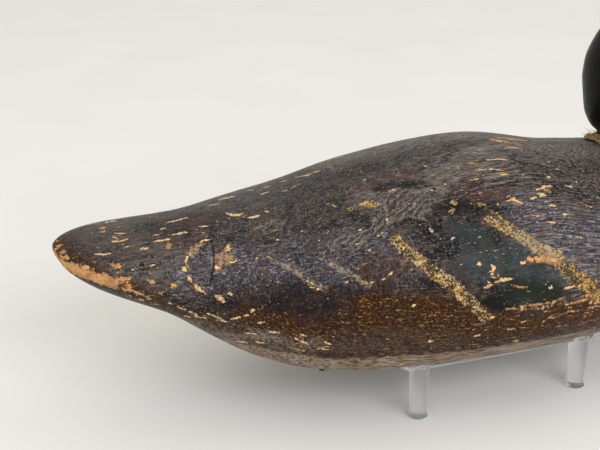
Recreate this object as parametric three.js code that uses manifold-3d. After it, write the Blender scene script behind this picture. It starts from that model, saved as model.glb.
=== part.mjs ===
// Carved and painted duck decoy, resting on a clear moulded display stand.
// Millimetres, +Z up, bill toward +X, tail toward -X. The stand's feet are at z = 0,
// and the origin is at the middle of the ground outline.

import * as THREE from 'three';
import { mergeVertices } from 'three/addons/utils/BufferGeometryUtils.js';
import Module from 'manifold-3d';

const wasm = await Module();
wasm.setup();

// Driving sizes. A station is a distance forward from the tail's tip, and a level is a
// height over the body's flat underside.
const overallLength = 392;
const bodyLength = 352;
const seatGap = 0.3;

// Stand
const plateThickness = 2;
const legHeight = 27;
const legTopRadius = 5.1;
const legFootRadius = 4.1;
const footRingRadius = 5;
const footRingHeight = 1.2;
const footRingRounding = 0.5;
const legFacets = 24;
const legSpacingLong = 89;
const legSpacingAcross = 98;
const plateBeyondLegsLong = 9;
const plateBeyondLegsAcross = 3.6;
const plateCornerRadius = 6;
const plateCornerSegments = 6;
const plateMiddleStation = 208;
const standHeight = plateThickness + legHeight;

// Body outline as [station, millimetres] pairs: the ridge of the back, the keel line, half the
// width, the level of the widest line and half the width of the flat underside.
const backLevels = [
  [0, 64], [45, 68.5], [100, 70.5], [160, 86], [220, 92], [262, 85.5], [300, 82], [326, 81],
  [341, 75], [352, 52],
];
const keelLevels = [
  [0, 64], [45, 32], [90, 5.5], [118, 0], [296, 0], [318, 5], [336, 18], [347, 34], [352, 52],
];
const halfWidths = [
  [0, 0], [25, 31], [60, 36], [110, 59.5], [160, 70], [215, 77.5], [265, 72.5], [310, 60],
  [337, 42], [352, 0],
];
const widestLevels = [
  [0, 64], [45, 57.5], [100, 53.5], [160, 45], [215, 45], [270, 45], [320, 49], [352, 52],
];
const flatHalfWidths = [
  [0, 0], [70, 17], [110, 34], [150, 48], [200, 50], [255, 48], [300, 32], [330, 10], [352, 0],
];
const crestRoundness = [
  [0, 2], [120, 2], [200, 1.8], [262, 1.4], [300, 1.35], [330, 1.7], [352, 2],
];
const bodyStations = 46;
const crestFacets = 9;
const flankFacets = 8;
const undersideFacets = 3;

// Head and neck, one block with the bill, as [level, station] and [level, half width] pairs
const seatLevel = 77.5;
const seatCutRings = 5;
const crownLevel = 152.5;
const headRear = [
  [77.5, 291], [85, 290], [91, 284], [99, 280.2], [112, 279.3], [122, 279.8], [132, 282.2],
  [141, 286.2], [148, 292.5], [152.5, 305],
];
const headFront = [
  [77.5, 340], [85, 337.5], [93, 333.5], [101, 332.5], [110, 336], [120, 339], [130, 338],
  [140, 331], [148, 319.5], [152.5, 305],
];
const headHalfWidths = [
  [77.5, 24], [85, 23], [93, 21.5], [104, 22.5], [116, 25.5], [126, 25], [136, 21.5], [144, 16],
  [150, 9], [152.5, 0],
];
const headRoundness = 2.2;
const faceTaper = 0.16;
const faceTaperFrom = 95;
const faceTaperTo = 120;
const headRings = 22;
const headFacets = 32;

// Bill, as [station, level] and [station, half width] pairs
const billRoot = 318;
const billTop = [
  [318, 136], [336, 130], [350, 123.5], [366, 118.5], [380, 116], [392, 111],
];
const billUnder = [
  [318, 107], [336, 105.5], [350, 105], [366, 105], [380, 106], [392, 111],
];
const billHalfWidths = [
  [318, 15], [338, 13.5], [354, 13], [372, 15], [384, 13.5], [392, 0],
];
const billRoundness = 2.4;
const billRings = 14;
const billFacets = 20;

// Glass eyes
const eyeRadius = 5;
const eyeStation = 319;
const eyeLevel = 131;
const eyeSideways = 17.8;
const eyeFacets = 20;
const eyeRings = 12;

// Filler round the neck joint. Its ragged rim is a sum of ripples, as [ripples in one turn,
// depth, phase]. Its hollow face passes through a waist, given as shares of the width and rise.
const fillerGap = 0.6;
const fillerInside = 1.5;
const neckCutRings = 8;
const fillerRise = 3;
const fillerWidth = 3.5;
const fillerRearWidth = 4.5;
const fillerEdge = 0.6;
const fillerRipples = [[7, 0.5, 0], [11, 0.4, 1]];
const fillerRiseRipple = 0.5;
const fillerWaistOut = 0.4;
const fillerWaistUp = 0.6;
const fillerTopInset = 0.6;

// Points closer than this are one point when a surface is closed into a solid
const samePoint = 1e-4;

// A smooth curve through [position, value] pairs that never overshoots them. The ease turns
// a position into the curve's own parameter, so that an end can close round.
function curveThrough(pairs, ease = (position) => position) {
  const at = pairs.map(([position]) => ease(position));
  const value = pairs.map(([, height]) => height);
  const last = at.length - 1;
  const run = at.slice(1).map((end, i) => end - at[i]);
  const rise = run.map((length, i) => (value[i + 1] - value[i]) / length);
  const slope = value.map((_, i) => {
    if (i === 0) return rise[0];
    if (i === last) return rise[last - 1];
    if (rise[i - 1] * rise[i] <= 0) return 0;
    const before = 2 * run[i] + run[i - 1];
    const after = run[i] + 2 * run[i - 1];
    return (before + after) / (before / rise[i - 1] + after / rise[i]);
  });
  return (position) => {
    const p = THREE.MathUtils.clamp(ease(position), at[0], at[last]);
    const i = THREE.MathUtils.clamp(at.findLastIndex((start) => start <= p), 0, last - 1);
    const t = (p - at[i]) / run[i];
    const blend = t * t * (3 - 2 * t);
    const lift = (t * (1 - t) * (1 - t) * slope[i] - t * t * (1 - t) * slope[i + 1]) * run[i];
    return value[i] + blend * (value[i + 1] - value[i]) + lift;
  };
}

// Eases that put the round ends at both ends of a length, or only at its far end
function bothEndsRound(length) {
  return (position) => Math.acos(THREE.MathUtils.clamp(1 - 2 * position / length, -1, 1)) / Math.PI;
}

function farEndRound(start, end) {
  return (position) => {
    const share = THREE.MathUtils.clamp((position - start) / (end - start), 0, 1);
    return Math.asin(share) * 2 / Math.PI;
  };
}

const bodyEase = bothEndsRound(bodyLength);
const backAt = curveThrough(backLevels, bodyEase);
const keelAt = curveThrough(keelLevels, bodyEase);
const halfWidthAt = curveThrough(halfWidths, bodyEase);
const widestAt = curveThrough(widestLevels, bodyEase);
const flatAt = curveThrough(flatHalfWidths, bodyEase);
const crestAt = curveThrough(crestRoundness, bodyEase);

const headEase = farEndRound(seatLevel, crownLevel);
const headRearAt = curveThrough(headRear, headEase);
const headFrontAt = curveThrough(headFront, headEase);
const headHalfWidthAt = curveThrough(headHalfWidths, headEase);

// A power that keeps the sign, for squared-off circles
const signedPower = (number, power) => Math.sign(number) * Math.abs(number) ** power;

// Closed surface through rings of points, each ring anticlockwise seen from the rings' far end.
// A ring of one point is a pole, and any other end ring is closed by a flat fan.
function loft(rings) {
  const positions = [];
  const triangles = [];
  const add = (point) => positions.push(...point.toArray()) / 3 - 1;
  const rows = rings.map((ring) => ring.map(add));
  const join = (a, b, c) => triangles.push(a, b, c);
  for (let k = 0; k + 1 < rows.length; k++) {
    const near = rows[k];
    const far = rows[k + 1];
    const count = Math.max(near.length, far.length);
    for (let i = 0; i < count; i++) {
      const j = (i + 1) % count;
      if (near.length === 1) join(near[0], far[j], far[i]);
      else if (far.length === 1) join(near[i], near[j], far[0]);
      else {
        join(near[i], near[j], far[i]);
        join(near[j], far[j], far[i]);
      }
    }
  }
  for (const [row, ring, turn] of [[rows[0], rings[0], false], [rows.at(-1), rings.at(-1), true]]) {
    if (row.length === 1) continue;
    const middle = new THREE.Vector3();
    for (const point of ring) middle.addScaledVector(point, 1 / ring.length);
    const hub = add(middle);
    row.forEach((point, i) => {
      const next = row[(i + 1) % row.length];
      if (turn) join(hub, point, next);
      else join(hub, next, point);
    });
  }
  const geometry = new THREE.BufferGeometry();
  geometry.setAttribute('position', new THREE.Float32BufferAttribute(positions, 3));
  geometry.setIndex(triangles);
  return geometry;
}

// Three.js geometry to a solid for cutting and joining, and back
function toSolid(geometry) {
  const bare = geometry.clone();
  bare.deleteAttribute('normal');
  bare.deleteAttribute('uv');
  const merged = mergeVertices(bare, samePoint);
  const corners = merged.index.array;
  const kept = [];
  for (let i = 0; i < corners.length; i += 3) {
    const [a, b, c] = [corners[i], corners[i + 1], corners[i + 2]];
    if (a !== b && b !== c && c !== a) kept.push(a, b, c);
  }
  const vertProperties = new Float32Array(merged.attributes.position.array);
  const triVerts = new Uint32Array(kept);
  return new wasm.Manifold(new wasm.Mesh({ numProp: 3, vertProperties, triVerts }));
}

function toGeometry(solid) {
  const mesh = solid.getMesh();
  const geometry = new THREE.BufferGeometry();
  geometry.setAttribute('position', new THREE.Float32BufferAttribute(mesh.vertProperties, 3));
  geometry.setIndex([...mesh.triVerts]);
  return geometry;
}

// Half of the body's cross-section at a station, from the ridge round the side to the keel,
// as [sideways, level] pairs
function bodyHalfSection(station) {
  const half = halfWidthAt(station);
  const flat = Math.min(flatAt(station), half);
  const widest = widestAt(station);
  const rise = backAt(station) - widest;
  const drop = widest - keelAt(station);
  const peak = 2 / crestAt(station);
  const points = [];
  for (let i = 0; i <= crestFacets; i++) {
    const angle = i / crestFacets * Math.PI / 2;
    points.push([half * Math.sin(angle) ** peak, widest + rise * Math.cos(angle)]);
  }
  for (let i = 1; i <= flankFacets; i++) {
    const angle = i / flankFacets * Math.PI / 2;
    points.push([flat + (half - flat) * Math.cos(angle), widest - drop * Math.sin(angle)]);
  }
  for (let i = 1; i <= undersideFacets; i++) {
    points.push([flat * (1 - i / undersideFacets), widest - drop]);
  }
  return points;
}

// Level of the body's upper surface over a station, some way to the side
function bodyTop(station, sideways) {
  const widest = widestAt(station);
  const part = Math.min(Math.abs(sideways) / halfWidthAt(station), 1);
  return widest + (backAt(station) - widest) * Math.sqrt(1 - part ** crestAt(station));
}

// A point of the neck or head at a level, at an angle from straight ahead, pushed out by a distance
function headPoint(level, angle, push = 0) {
  const rear = headRearAt(level);
  const front = headFrontAt(level);
  const power = 2 / headRoundness;
  const along = (front - rear) / 2 + push;
  const across = headHalfWidthAt(level) + push;
  const station = (rear + front) / 2 + along * signedPower(Math.cos(angle), power);
  const taper = faceTaper * THREE.MathUtils.smoothstep(level, faceTaperFrom, faceTaperTo);
  const narrowing = 1 - taper * Math.cos(angle);
  return new THREE.Vector3(station, across * narrowing * signedPower(Math.sin(angle), power), level);
}

// Levels of the rings that the neck and head are stacked from, closer together at the crown
const headLevels = Array.from({ length: headRings }, (_, k) => {
  const base = seatLevel + seatGap;
  return base + (crownLevel - base) * Math.sin(k / headRings * Math.PI / 2);
});

function neckOutline(level, push) {
  const angles = Array.from({ length: headFacets }, (_, i) => i / headFacets * 2 * Math.PI);
  return angles.map((angle) => headPoint(level, angle, push));
}

// The body is one loft from the tail's tip to the breast, with a seat cut flat for the neck
function bodyGeometry() {
  const rings = [[new THREE.Vector3(0, 0, backLevels[0][1])]];
  for (let k = 1; k < bodyStations; k++) {
    const station = bodyLength * (1 - Math.cos(Math.PI * k / bodyStations)) / 2;
    const half = bodyHalfSection(station);
    const right = half.map(([sideways, level]) => new THREE.Vector3(station, -sideways, level));
    const left = right.slice(1, -1).map((point) => point.clone().setY(-point.y));
    rings.push([...right, ...left.reverse()]);
  }
  rings.push([new THREE.Vector3(bodyLength, 0, backLevels.at(-1)[1])]);
  const seatLevels = [seatLevel, ...headLevels.slice(1, seatCutRings)];
  const seat = loft(seatLevels.map((level) => neckOutline(level, seatGap)));
  return toGeometry(toSolid(loft(rings)).subtract(toSolid(seat)));
}

// Neck and head stacked in level rings, the bill joined on, and a round socket for each eye
function headGeometry() {
  const rings = headLevels.map((level) => neckOutline(level, 0));
  rings.push([new THREE.Vector3(headRear.at(-1)[1], 0, crownLevel)]);
  let head = toSolid(loft(rings)).add(toSolid(billGeometry()));
  for (const side of [-1, 1]) {
    head = head.subtract(toSolid(eyeGeometry(eyeRadius + seatGap, side)));
  }
  return toGeometry(head);
}

function billGeometry() {
  const ease = farEndRound(billRoot, overallLength);
  const topAt = curveThrough(billTop, ease);
  const underAt = curveThrough(billUnder, ease);
  const halfAt = curveThrough(billHalfWidths, ease);
  const power = 2 / billRoundness;
  const rings = [];
  for (let k = 0; k < billRings; k++) {
    const station = billRoot + (overallLength - billRoot) * Math.sin(k / billRings * Math.PI / 2);
    const middle = (topAt(station) + underAt(station)) / 2;
    const half = (topAt(station) - underAt(station)) / 2;
    rings.push(Array.from({ length: billFacets }, (_, i) => {
      const angle = i / billFacets * 2 * Math.PI;
      const sideways = halfAt(station) * signedPower(Math.cos(angle), power);
      return new THREE.Vector3(station, sideways, middle + half * signedPower(Math.sin(angle), power));
    }));
  }
  rings.push([new THREE.Vector3(overallLength, 0, billTop.at(-1)[1])]);
  return loft(rings);
}

function eyeGeometry(radius, side) {
  const ball = new THREE.SphereGeometry(radius, eyeFacets, eyeRings);
  return ball.translate(eyeStation, side * eyeSideways, eyeLevel);
}

// Filler pressed into the corner between neck and back, wider and rougher behind the neck
function fillerGeometry() {
  const positions = [];
  const triangles = [];
  const profileSize = 5;
  for (let i = 0; i < headFacets; i++) {
    const angle = i / headFacets * 2 * Math.PI;
    const behind = Math.max(-Math.cos(angle), 0);
    let ragged = 0;
    for (const [ripples, depth, phase] of fillerRipples) {
      ragged += depth * Math.sin(ripples * angle + phase);
    }
    const width = fillerWidth + fillerRearWidth * behind + ragged;
    const rise = fillerRise + ragged * fillerRiseRipple;
    const foot = headPoint(seatLevel, angle);
    const neckLevel = bodyTop(foot.x, foot.y) + fillerGap;
    const inner = headPoint(neckLevel, angle, -fillerInside);
    inner.z = bodyTop(inner.x, inner.y) + fillerGap;
    const outer = headPoint(neckLevel, angle, width);
    outer.z = bodyTop(outer.x, outer.y) + fillerGap;
    const waist = headPoint(neckLevel, angle, width * fillerWaistOut);
    waist.z = bodyTop(waist.x, waist.y) + fillerGap + rise * fillerWaistUp;
    const upper = headPoint(neckLevel + rise, angle, 0);
    upper.z = inner.z + rise;
    upper.lerp(inner.clone().setZ(upper.z), fillerTopInset);
    const edge = outer.clone().setZ(outer.z + fillerEdge);
    for (const point of [inner, outer, edge, waist, upper]) positions.push(...point.toArray());
  }
  for (let i = 0; i < headFacets; i++) {
    const here = i * profileSize;
    const there = (i + 1) % headFacets * profileSize;
    for (let k = 0; k < profileSize; k++) {
      const next = (k + 1) % profileSize;
      triangles.push(here + k, there + k, there + next, here + k, there + next, here + next);
    }
  }
  const ring = new THREE.BufferGeometry();
  ring.setAttribute('position', new THREE.Float32BufferAttribute(positions, 3));
  ring.setIndex(triangles);
  const neckLevels = headLevels.slice(0, neckCutRings);
  const neck = loft(neckLevels.map((level) => neckOutline(level, fillerGap)));
  return toGeometry(toSolid(ring).subtract(toSolid(neck)));
}

// The stand is one moulding: a plate on four tapered legs with a rounded ring at each foot
function standGeometry() {
  const long = legSpacingLong / 2 + plateBeyondLegsLong - plateCornerRadius;
  const across = legSpacingAcross / 2 + plateBeyondLegsAcross - plateCornerRadius;
  const outline = new THREE.Shape();
  const corners = [[1, 1], [-1, 1], [-1, -1], [1, -1]];
  corners.forEach(([x, y], i) => {
    const start = i * Math.PI / 2;
    outline.absarc(x * long, y * across, plateCornerRadius, start, start + Math.PI / 2, false);
  });
  const plate = new THREE.ExtrudeGeometry(outline, {
    depth: plateThickness,
    bevelEnabled: false,
    curveSegments: plateCornerSegments,
  });
  plate.translate(0, 0, legHeight);
  const legTop = legHeight + plateThickness / 2;
  const profile = [
    [0, 0],
    [footRingRadius - footRingRounding, 0],
    [footRingRadius, footRingHeight / 2],
    [legFootRadius, footRingHeight],
    [legTopRadius, legTop],
    [0, legTop],
  ];
  const turned = profile.map(([radius, level]) => new THREE.Vector2(radius, level));
  const leg = new THREE.LatheGeometry(turned, legFacets);
  leg.rotateX(Math.PI / 2);
  let stand = toSolid(plate);
  for (const [x, y] of corners) {
    const placed = leg.clone().translate(x * legSpacingLong / 2, y * legSpacingAcross / 2, 0);
    stand = stand.add(toSolid(placed));
  }
  return toGeometry(stand);
}

function finish(color, roughness, options = {}) {
  return new THREE.MeshStandardMaterial({ color, roughness, metalness: 0, ...options });
}

function named(name, geometry, material) {
  geometry.computeVertexNormals();
  const mesh = new THREE.Mesh(geometry, material);
  mesh.name = name;
  return mesh;
}

const wornBlackPaint = finish('#2b2522', 0.6);
const headPaint = finish('#1c1d1b', 0.55);
const glass = finish('#3a2410', 0.1);
const clearPlastic = finish('#e6ecec', 0.08, { transparent: true, opacity: 0.35 });
const tanFiller = finish('#b08f5e', 0.85);

const decoy = new THREE.Group();
decoy.position.set(-overallLength / 2, 0, standHeight + seatGap);
decoy.add(
  named('body', bodyGeometry(), wornBlackPaint),
  named('head', headGeometry(), headPaint),
  named('neck_filler', fillerGeometry(), tanFiller),
  named('eye_right', eyeGeometry(eyeRadius, -1), glass),
  named('eye_left', eyeGeometry(eyeRadius, 1), glass),
);

const stand = named('display_stand', standGeometry(), clearPlastic);
stand.position.set(plateMiddleStation - overallLength / 2, 0, 0);

const group = new THREE.Group();
group.add(decoy, stand);

export default group;
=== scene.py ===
"""A carved and painted duck decoy on a clear moulded stand, dressed for the render.

Sizes are in millimetres until a mesh is made, and every Blender object is in metres.
A station is a distance forward from the tail's tip and a level is a height over the
body's flat underside, as in the solid part.
"""

import logging
from collections.abc import Callable, Sequence
from dataclasses import dataclass
from enum import Enum
from math import cos, pi, radians, sin

import bpy
import numpy as np
from mathutils import Matrix, Vector, noise
from mathutils.bvhtree import BVHTree


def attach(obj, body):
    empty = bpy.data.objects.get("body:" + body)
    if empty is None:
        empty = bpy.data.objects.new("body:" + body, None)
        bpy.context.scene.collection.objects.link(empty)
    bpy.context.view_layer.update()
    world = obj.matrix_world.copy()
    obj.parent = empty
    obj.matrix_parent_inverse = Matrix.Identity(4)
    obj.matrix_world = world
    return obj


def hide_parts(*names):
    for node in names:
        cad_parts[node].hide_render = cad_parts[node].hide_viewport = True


log = logging.getLogger("decoy")

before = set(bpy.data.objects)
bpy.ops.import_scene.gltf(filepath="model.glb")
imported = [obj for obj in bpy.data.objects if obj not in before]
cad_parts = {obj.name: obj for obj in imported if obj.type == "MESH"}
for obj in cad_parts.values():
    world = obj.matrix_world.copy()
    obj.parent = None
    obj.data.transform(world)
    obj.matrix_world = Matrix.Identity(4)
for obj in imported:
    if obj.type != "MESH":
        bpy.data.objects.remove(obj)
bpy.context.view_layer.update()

MM = 0.001
TAIL_X, UNDERSIDE_Z = -196.0, 29.3
# Added to a station, a sideways distance and a level, this gives a place in the part's frame
ORIGIN = np.array([TAIL_X, 0.0, UNDERSIDE_Z])
SEED = 1931

# Blender's smooth noise seldom passes 0.6, so this much brings it to about one
NOISE_REACH = 1.6

Array = np.ndarray
Material = bpy.types.Material
Piece = bpy.types.Object
Socket = bpy.types.NodeSocket
Tree = bpy.types.NodeTree
Ease = Callable[[Array], Array]
Faces = list[tuple[int, ...]]
Pair = tuple[float, float]
Pairs = tuple[Pair, ...]
Pixels = tuple[float, ...]
Triple = tuple[float, float, float]

# Sockets and settings of a node that mixes two colours
MIX_FACTOR, MIX_UNDER, MIX_OVER = 0, 6, 7
MIX_COLOURS = {"out": 2, "data_type": "RGBA"}


def linear(code: str) -> tuple[float, ...]:
    """Turn an sRGB hex colour into linear light.

    Args:
        code: A colour such as "#c0a080".

    Returns:
        Red, green, blue and an alpha of one.
    """
    parts = [int(code[i : i + 2], 16) / 255 for i in (1, 3, 5)]
    light = [c / 12.92 if c <= 0.04045 else ((c + 0.055) / 1.055) ** 2.4 for c in parts]
    return (light[0], light[1], light[2], 1.0)


def add_node(
    tree: Tree,
    kind: str,
    links: dict[int | str, object] | None = None,
    out: int | str | None = 0,
    **settings: object,
) -> Socket | bpy.types.Node:
    """Add one node with its settings and links.

    Args:
        tree: The node tree to add to.
        kind: The node's Blender type, without the prefix that all shader nodes share.
        links: Input sockets by index or name, each with a value or a socket to link.
        out: The output socket to hand back, or None for the node itself.
        **settings: Properties of the node.

    Returns:
        The output socket, or the node.
    """
    made = tree.nodes.new("ShaderNode" + kind)
    for name, value in settings.items():
        setattr(made, name, value)
    for key, value in (links or {}).items():
        if isinstance(value, Socket):
            tree.links.new(value, made.inputs[key])
        else:
            made.inputs[key].default_value = value
    return made if out is None else made.outputs[out]


def new_material(name: str) -> tuple[Material, Tree]:
    """Make an empty node material.

    Args:
        name: The finish's name.

    Returns:
        The material and its node tree.
    """
    material = bpy.data.materials.new(name)
    material.use_nodes = True
    material.node_tree.nodes.clear()
    return material, material.node_tree


def make_piece(name: str, points: Array, faces: Sequence[Sequence[int]]) -> Piece:
    """Make a smooth shaded mesh object.

    Args:
        name: The piece's name.
        points: Its points in the part's frame.
        faces: Its faces as point numbers.

    Returns:
        The object, linked to the scene.
    """
    mesh = bpy.data.meshes.new(name)
    mesh.from_pydata((points * MM).tolist(), [], faces)
    mesh.update()
    mesh.shade_smooth()
    piece = bpy.data.objects.new(name, mesh)
    bpy.context.scene.collection.objects.link(piece)
    return piece


def full_turn(count: int) -> Array:
    """Return evenly spaced angles once round."""
    return np.arange(count) / count * 2 * pi


def circle(count: int, radius: float, level: float, middle: Pair = (0.0, 0.0)) -> Array:
    """Trace a level circle of that many points about a middle."""
    flat = np.outer(np.cos(full_turn(count)), (1, 0)) + np.outer(np.sin(full_turn(count)), (0, 1))
    return np.column_stack([middle + radius * flat, np.full(count, level)])


def loft(
    rings: list[Array], start: Array | None = None, end: Array | None = None
) -> tuple[Array, Faces]:
    """Join rings of points into one closed surface.

    Args:
        rings: Rings of equal count, anticlockwise seen from the last ring.
        start: The pole before the first ring, or None for the ring's own middle.
        end: The pole after the last ring, or None for the ring's own middle.

    Returns:
        The points and the faces.
    """
    count = len(rings[0])
    first = rings[0].mean(0) if start is None else start
    last = rings[-1].mean(0) if end is None else end
    points = np.concatenate([[first], *rings, [last]])
    faces: Faces = []
    top = len(points) - 1
    for i in range(count):
        j = (i + 1) % count
        faces.append((0, 1 + j, 1 + i))
        faces.append((top, top - count + i, top - count + j))
    for ring in range(len(rings) - 1):
        low = 1 + ring * count
        for i in range(count):
            j = (i + 1) % count
            faces.append((low + i, low + j, low + count + j, low + count + i))
    return points, faces


def dress(piece: Piece, material: Material, node: str = "") -> None:
    """Give a piece its finish, its body and the solid that it stands for.

    Args:
        piece: The piece to dress.
        material: Its finish.
        node: The solid that it replaces, if it replaces one.
    """
    piece.data.materials.clear()
    piece.data.materials.append(material)
    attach(piece, "root")
    if node:
        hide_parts(node)
    log.info("%s: %d faces in %s", piece.name, len(piece.data.polygons), material.name)


def apply_modifiers(piece: Piece) -> None:
    """Replace a piece's mesh by what its modifiers make of it.

    Args:
        piece: The piece, with its modifiers.
    """
    graph = bpy.context.evaluated_depsgraph_get()
    made = bpy.data.meshes.new_from_object(piece.evaluated_get(graph))
    piece.modifiers.clear()
    piece.data = made
    made.shade_smooth()


def read_mesh(piece: Piece) -> tuple[Array, Array]:
    """Read a mesh's points and the directions in which they face outward.

    Args:
        piece: The piece.

    Returns:
        The points in millimetres, and a unit normal for each.
    """
    rows = []
    for items, key in ((piece.data.vertices, "co"), (piece.data.vertex_normals, "vector")):
        flat = np.empty(len(items) * 3, np.float32)
        items.foreach_get(key, flat)
        rows.append(flat.reshape(-1, 3).astype(float))
    return rows[0] / MM, rows[1]


def write_points(piece: Piece, points: Array) -> None:
    """Write an array of points in millimetres back to a mesh."""
    piece.data.vertices.foreach_set("co", (points * MM).astype(np.float32).ravel())
    piece.data.update()


def write_values(piece: Piece, name: str, values: Array) -> None:
    """Write one number or one vector a point to the mesh.

    Args:
        piece: The piece.
        name: The attribute's name, for the finish to read.
        values: The numbers, or rows of three.
    """
    kind, key = ("FLOAT", "value") if values.ndim == 1 else ("FLOAT_VECTOR", "vector")
    attribute = piece.data.attributes.new(name, kind, "POINT")
    attribute.data.foreach_set(key, values.astype(np.float32).ravel())


def wander(points: Array, size: float, seed: float) -> Array:
    """Return smooth unevenness, one number a point, with bumps a size apart."""
    shift = Vector((seed, seed * 0.37, -seed * 0.71))
    return np.array([noise.noise(Vector(p) / size + shift) for p in points]) * NOISE_REACH


def smooth_step(position: Array, start: float = 0.0, run: float = 1.0) -> Array:
    """Ease from 0 at the start to 1 at the end of a run, flat at both ends."""
    t = np.clip((position - start) / run, 0.0, 1.0)
    return t * t * (3.0 - 2.0 * t)


def groove(offset: Array, width: float) -> Array:
    """Shape a soft groove, 1 in its middle and fading over its width."""
    return np.exp(-((offset / width) ** 2))


def signed_power(number: Array, power: float) -> Array:
    """Raise to a power and keep the sign, for squared-off circles."""
    return np.sign(number) * np.abs(number) ** power


def both_ends_round(length: float) -> Ease:
    """Make an ease that lets a curve close round at both ends of a length."""
    return lambda position: np.arccos(np.clip(1.0 - 2.0 * position / length, -1.0, 1.0)) / pi


def far_end_round(start: float, end: float) -> Ease:
    """Make an ease that lets a curve close round at its far end only."""
    return lambda position: np.arcsin(np.clip((position - start) / (end - start), 0.0, 1.0)) * 2 / pi


@dataclass
class Curve:
    """A smooth curve through position and value pairs that never overshoots them."""

    pairs: Pairs
    ease: Ease

    def __post_init__(self) -> None:
        """Work out the slopes at the pairs."""
        self.at = self.ease(np.array([p for p, _ in self.pairs], float))
        self.value = np.array([v for _, v in self.pairs], float)
        self.run = np.diff(self.at)
        rise = np.diff(self.value) / self.run
        slope = np.empty(len(self.at))
        slope[0], slope[-1] = rise[0], rise[-1]
        for i in range(1, len(rise)):
            if rise[i - 1] * rise[i] <= 0.0:
                slope[i] = 0.0
                continue
            before = 2 * self.run[i] + self.run[i - 1]
            after = self.run[i] + 2 * self.run[i - 1]
            slope[i] = (before + after) / (before / rise[i - 1] + after / rise[i])
        self.slope = slope

    def __call__(self, position: Array | float) -> Array:
        """Read the curve.

        Args:
            position: One position or many.

        Returns:
            The value at each.
        """
        p = np.clip(self.ease(np.asarray(position, float)), self.at[0], self.at[-1])
        i = np.clip(np.searchsorted(self.at, p, side="right") - 1, 0, len(self.run) - 1)
        t = (p - self.at[i]) / self.run[i]
        pull = t * (1 - t) ** 2 * self.slope[i] - t * t * (1 - t) * self.slope[i + 1]
        step = t * t * (3 - 2 * t) * (self.value[i + 1] - self.value[i])
        return self.value[i] + step + pull * self.run[i]


@dataclass(frozen=True)
class Viewpoint:
    """The camera, in the photograph's place."""

    lens: float = 72.0
    sensor: float = 36.0
    azimuth: float = -20.0
    elevation: float = 22.0
    target: Triple = (-76.1, 0.0, 88.2)
    distance: float = 586.1
    width: int = 600
    height: int = 450
    clip: Pair = (0.01, 50.0)

    def axes(self) -> tuple[Vector, Vector, Vector]:
        """Work out how the camera is turned.

        Returns:
            The directions to the right, up and back toward the camera.
        """
        a, e = radians(self.azimuth), radians(self.elevation)
        back = Vector((sin(a) * cos(e), -cos(a) * cos(e), sin(e)))
        right = Vector((cos(a), sin(a), 0.0))
        return right, back.cross(right), back

    def place(self) -> Vector:
        """Return where the camera stands, in millimetres."""
        return Vector(self.target) + self.axes()[2] * self.distance

    def ray(self, pixel: Pair) -> Vector:
        """Aim through a pixel of the photograph.

        Args:
            pixel: Its place across and down.

        Returns:
            The direction from the camera.
        """
        right, up, back = self.axes()
        focal = self.lens / self.sensor * self.width
        across, rise = pixel[0] - self.width / 2, self.height / 2 - pixel[1]
        return (right * across + up * rise - back * focal).normalized()

    def build(self) -> None:
        """Put the camera in the scene."""
        right, up, back = self.axes()
        data = bpy.data.cameras.new("camera")
        data.lens = self.lens
        data.sensor_width = self.sensor
        data.clip_start, data.clip_end = self.clip
        camera = bpy.data.objects.new("camera", data)
        turn = Matrix((right, up, back)).transposed().to_4x4()
        camera.matrix_world = Matrix.Translation(self.place() * MM) @ turn
        bpy.context.scene.collection.objects.link(camera)
        bpy.context.scene.camera = camera


@dataclass(frozen=True)
class PaleBoard:
    """Matt pale card under the decoy. It gives a soft even ground with a faint mottle."""

    card: str = "#f1eee7"
    shade: str = "#e9e6df"
    roughness: float = 0.7
    specular: float = 0.2
    mottle: float = 90.0

    def material(self) -> Material:
        """Make the card's material.

        Returns:
            The material.
        """
        material, tree = new_material("pale matt card")
        place = add_node(tree, "TexCoord", out="Object")
        cloud = add_node(
            tree, "TexNoise", {"Vector": place, "Scale": 1 / (self.mottle * MM), "Detail": 2.0}
        )
        mixed = {MIX_FACTOR: cloud, MIX_UNDER: linear(self.card), MIX_OVER: linear(self.shade)}
        colour = add_node(tree, "Mix", mixed, **MIX_COLOURS)
        shader = add_node(
            tree,
            "BsdfPrincipled",
            {"Base Color": colour, "Roughness": self.roughness, "Specular IOR Level": self.specular},
        )
        add_node(tree, "OutputMaterial", {"Surface": shader}, out=None)
        return material


@dataclass(frozen=True)
class Softbox:
    """One wide soft lamp, in millimetres and watts."""

    name: str
    place: Triple
    aim: Triple
    size: Pair
    power: float
    tint: str

    def build(self) -> None:
        """Put the lamp in the scene."""
        data = bpy.data.lights.new(self.name, "AREA")
        data.shape = "RECTANGLE"
        data.size, data.size_y = self.size[0] * MM, self.size[1] * MM
        data.energy = self.power
        data.color = linear(self.tint)[:3]
        lamp = bpy.data.objects.new(self.name, data)
        lamp.location = Vector(self.place) * MM
        look = Vector(self.aim) - Vector(self.place)
        lamp.rotation_euler = look.to_track_quat("-Z", "Y").to_euler()
        bpy.context.scene.collection.objects.link(lamp)


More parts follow.
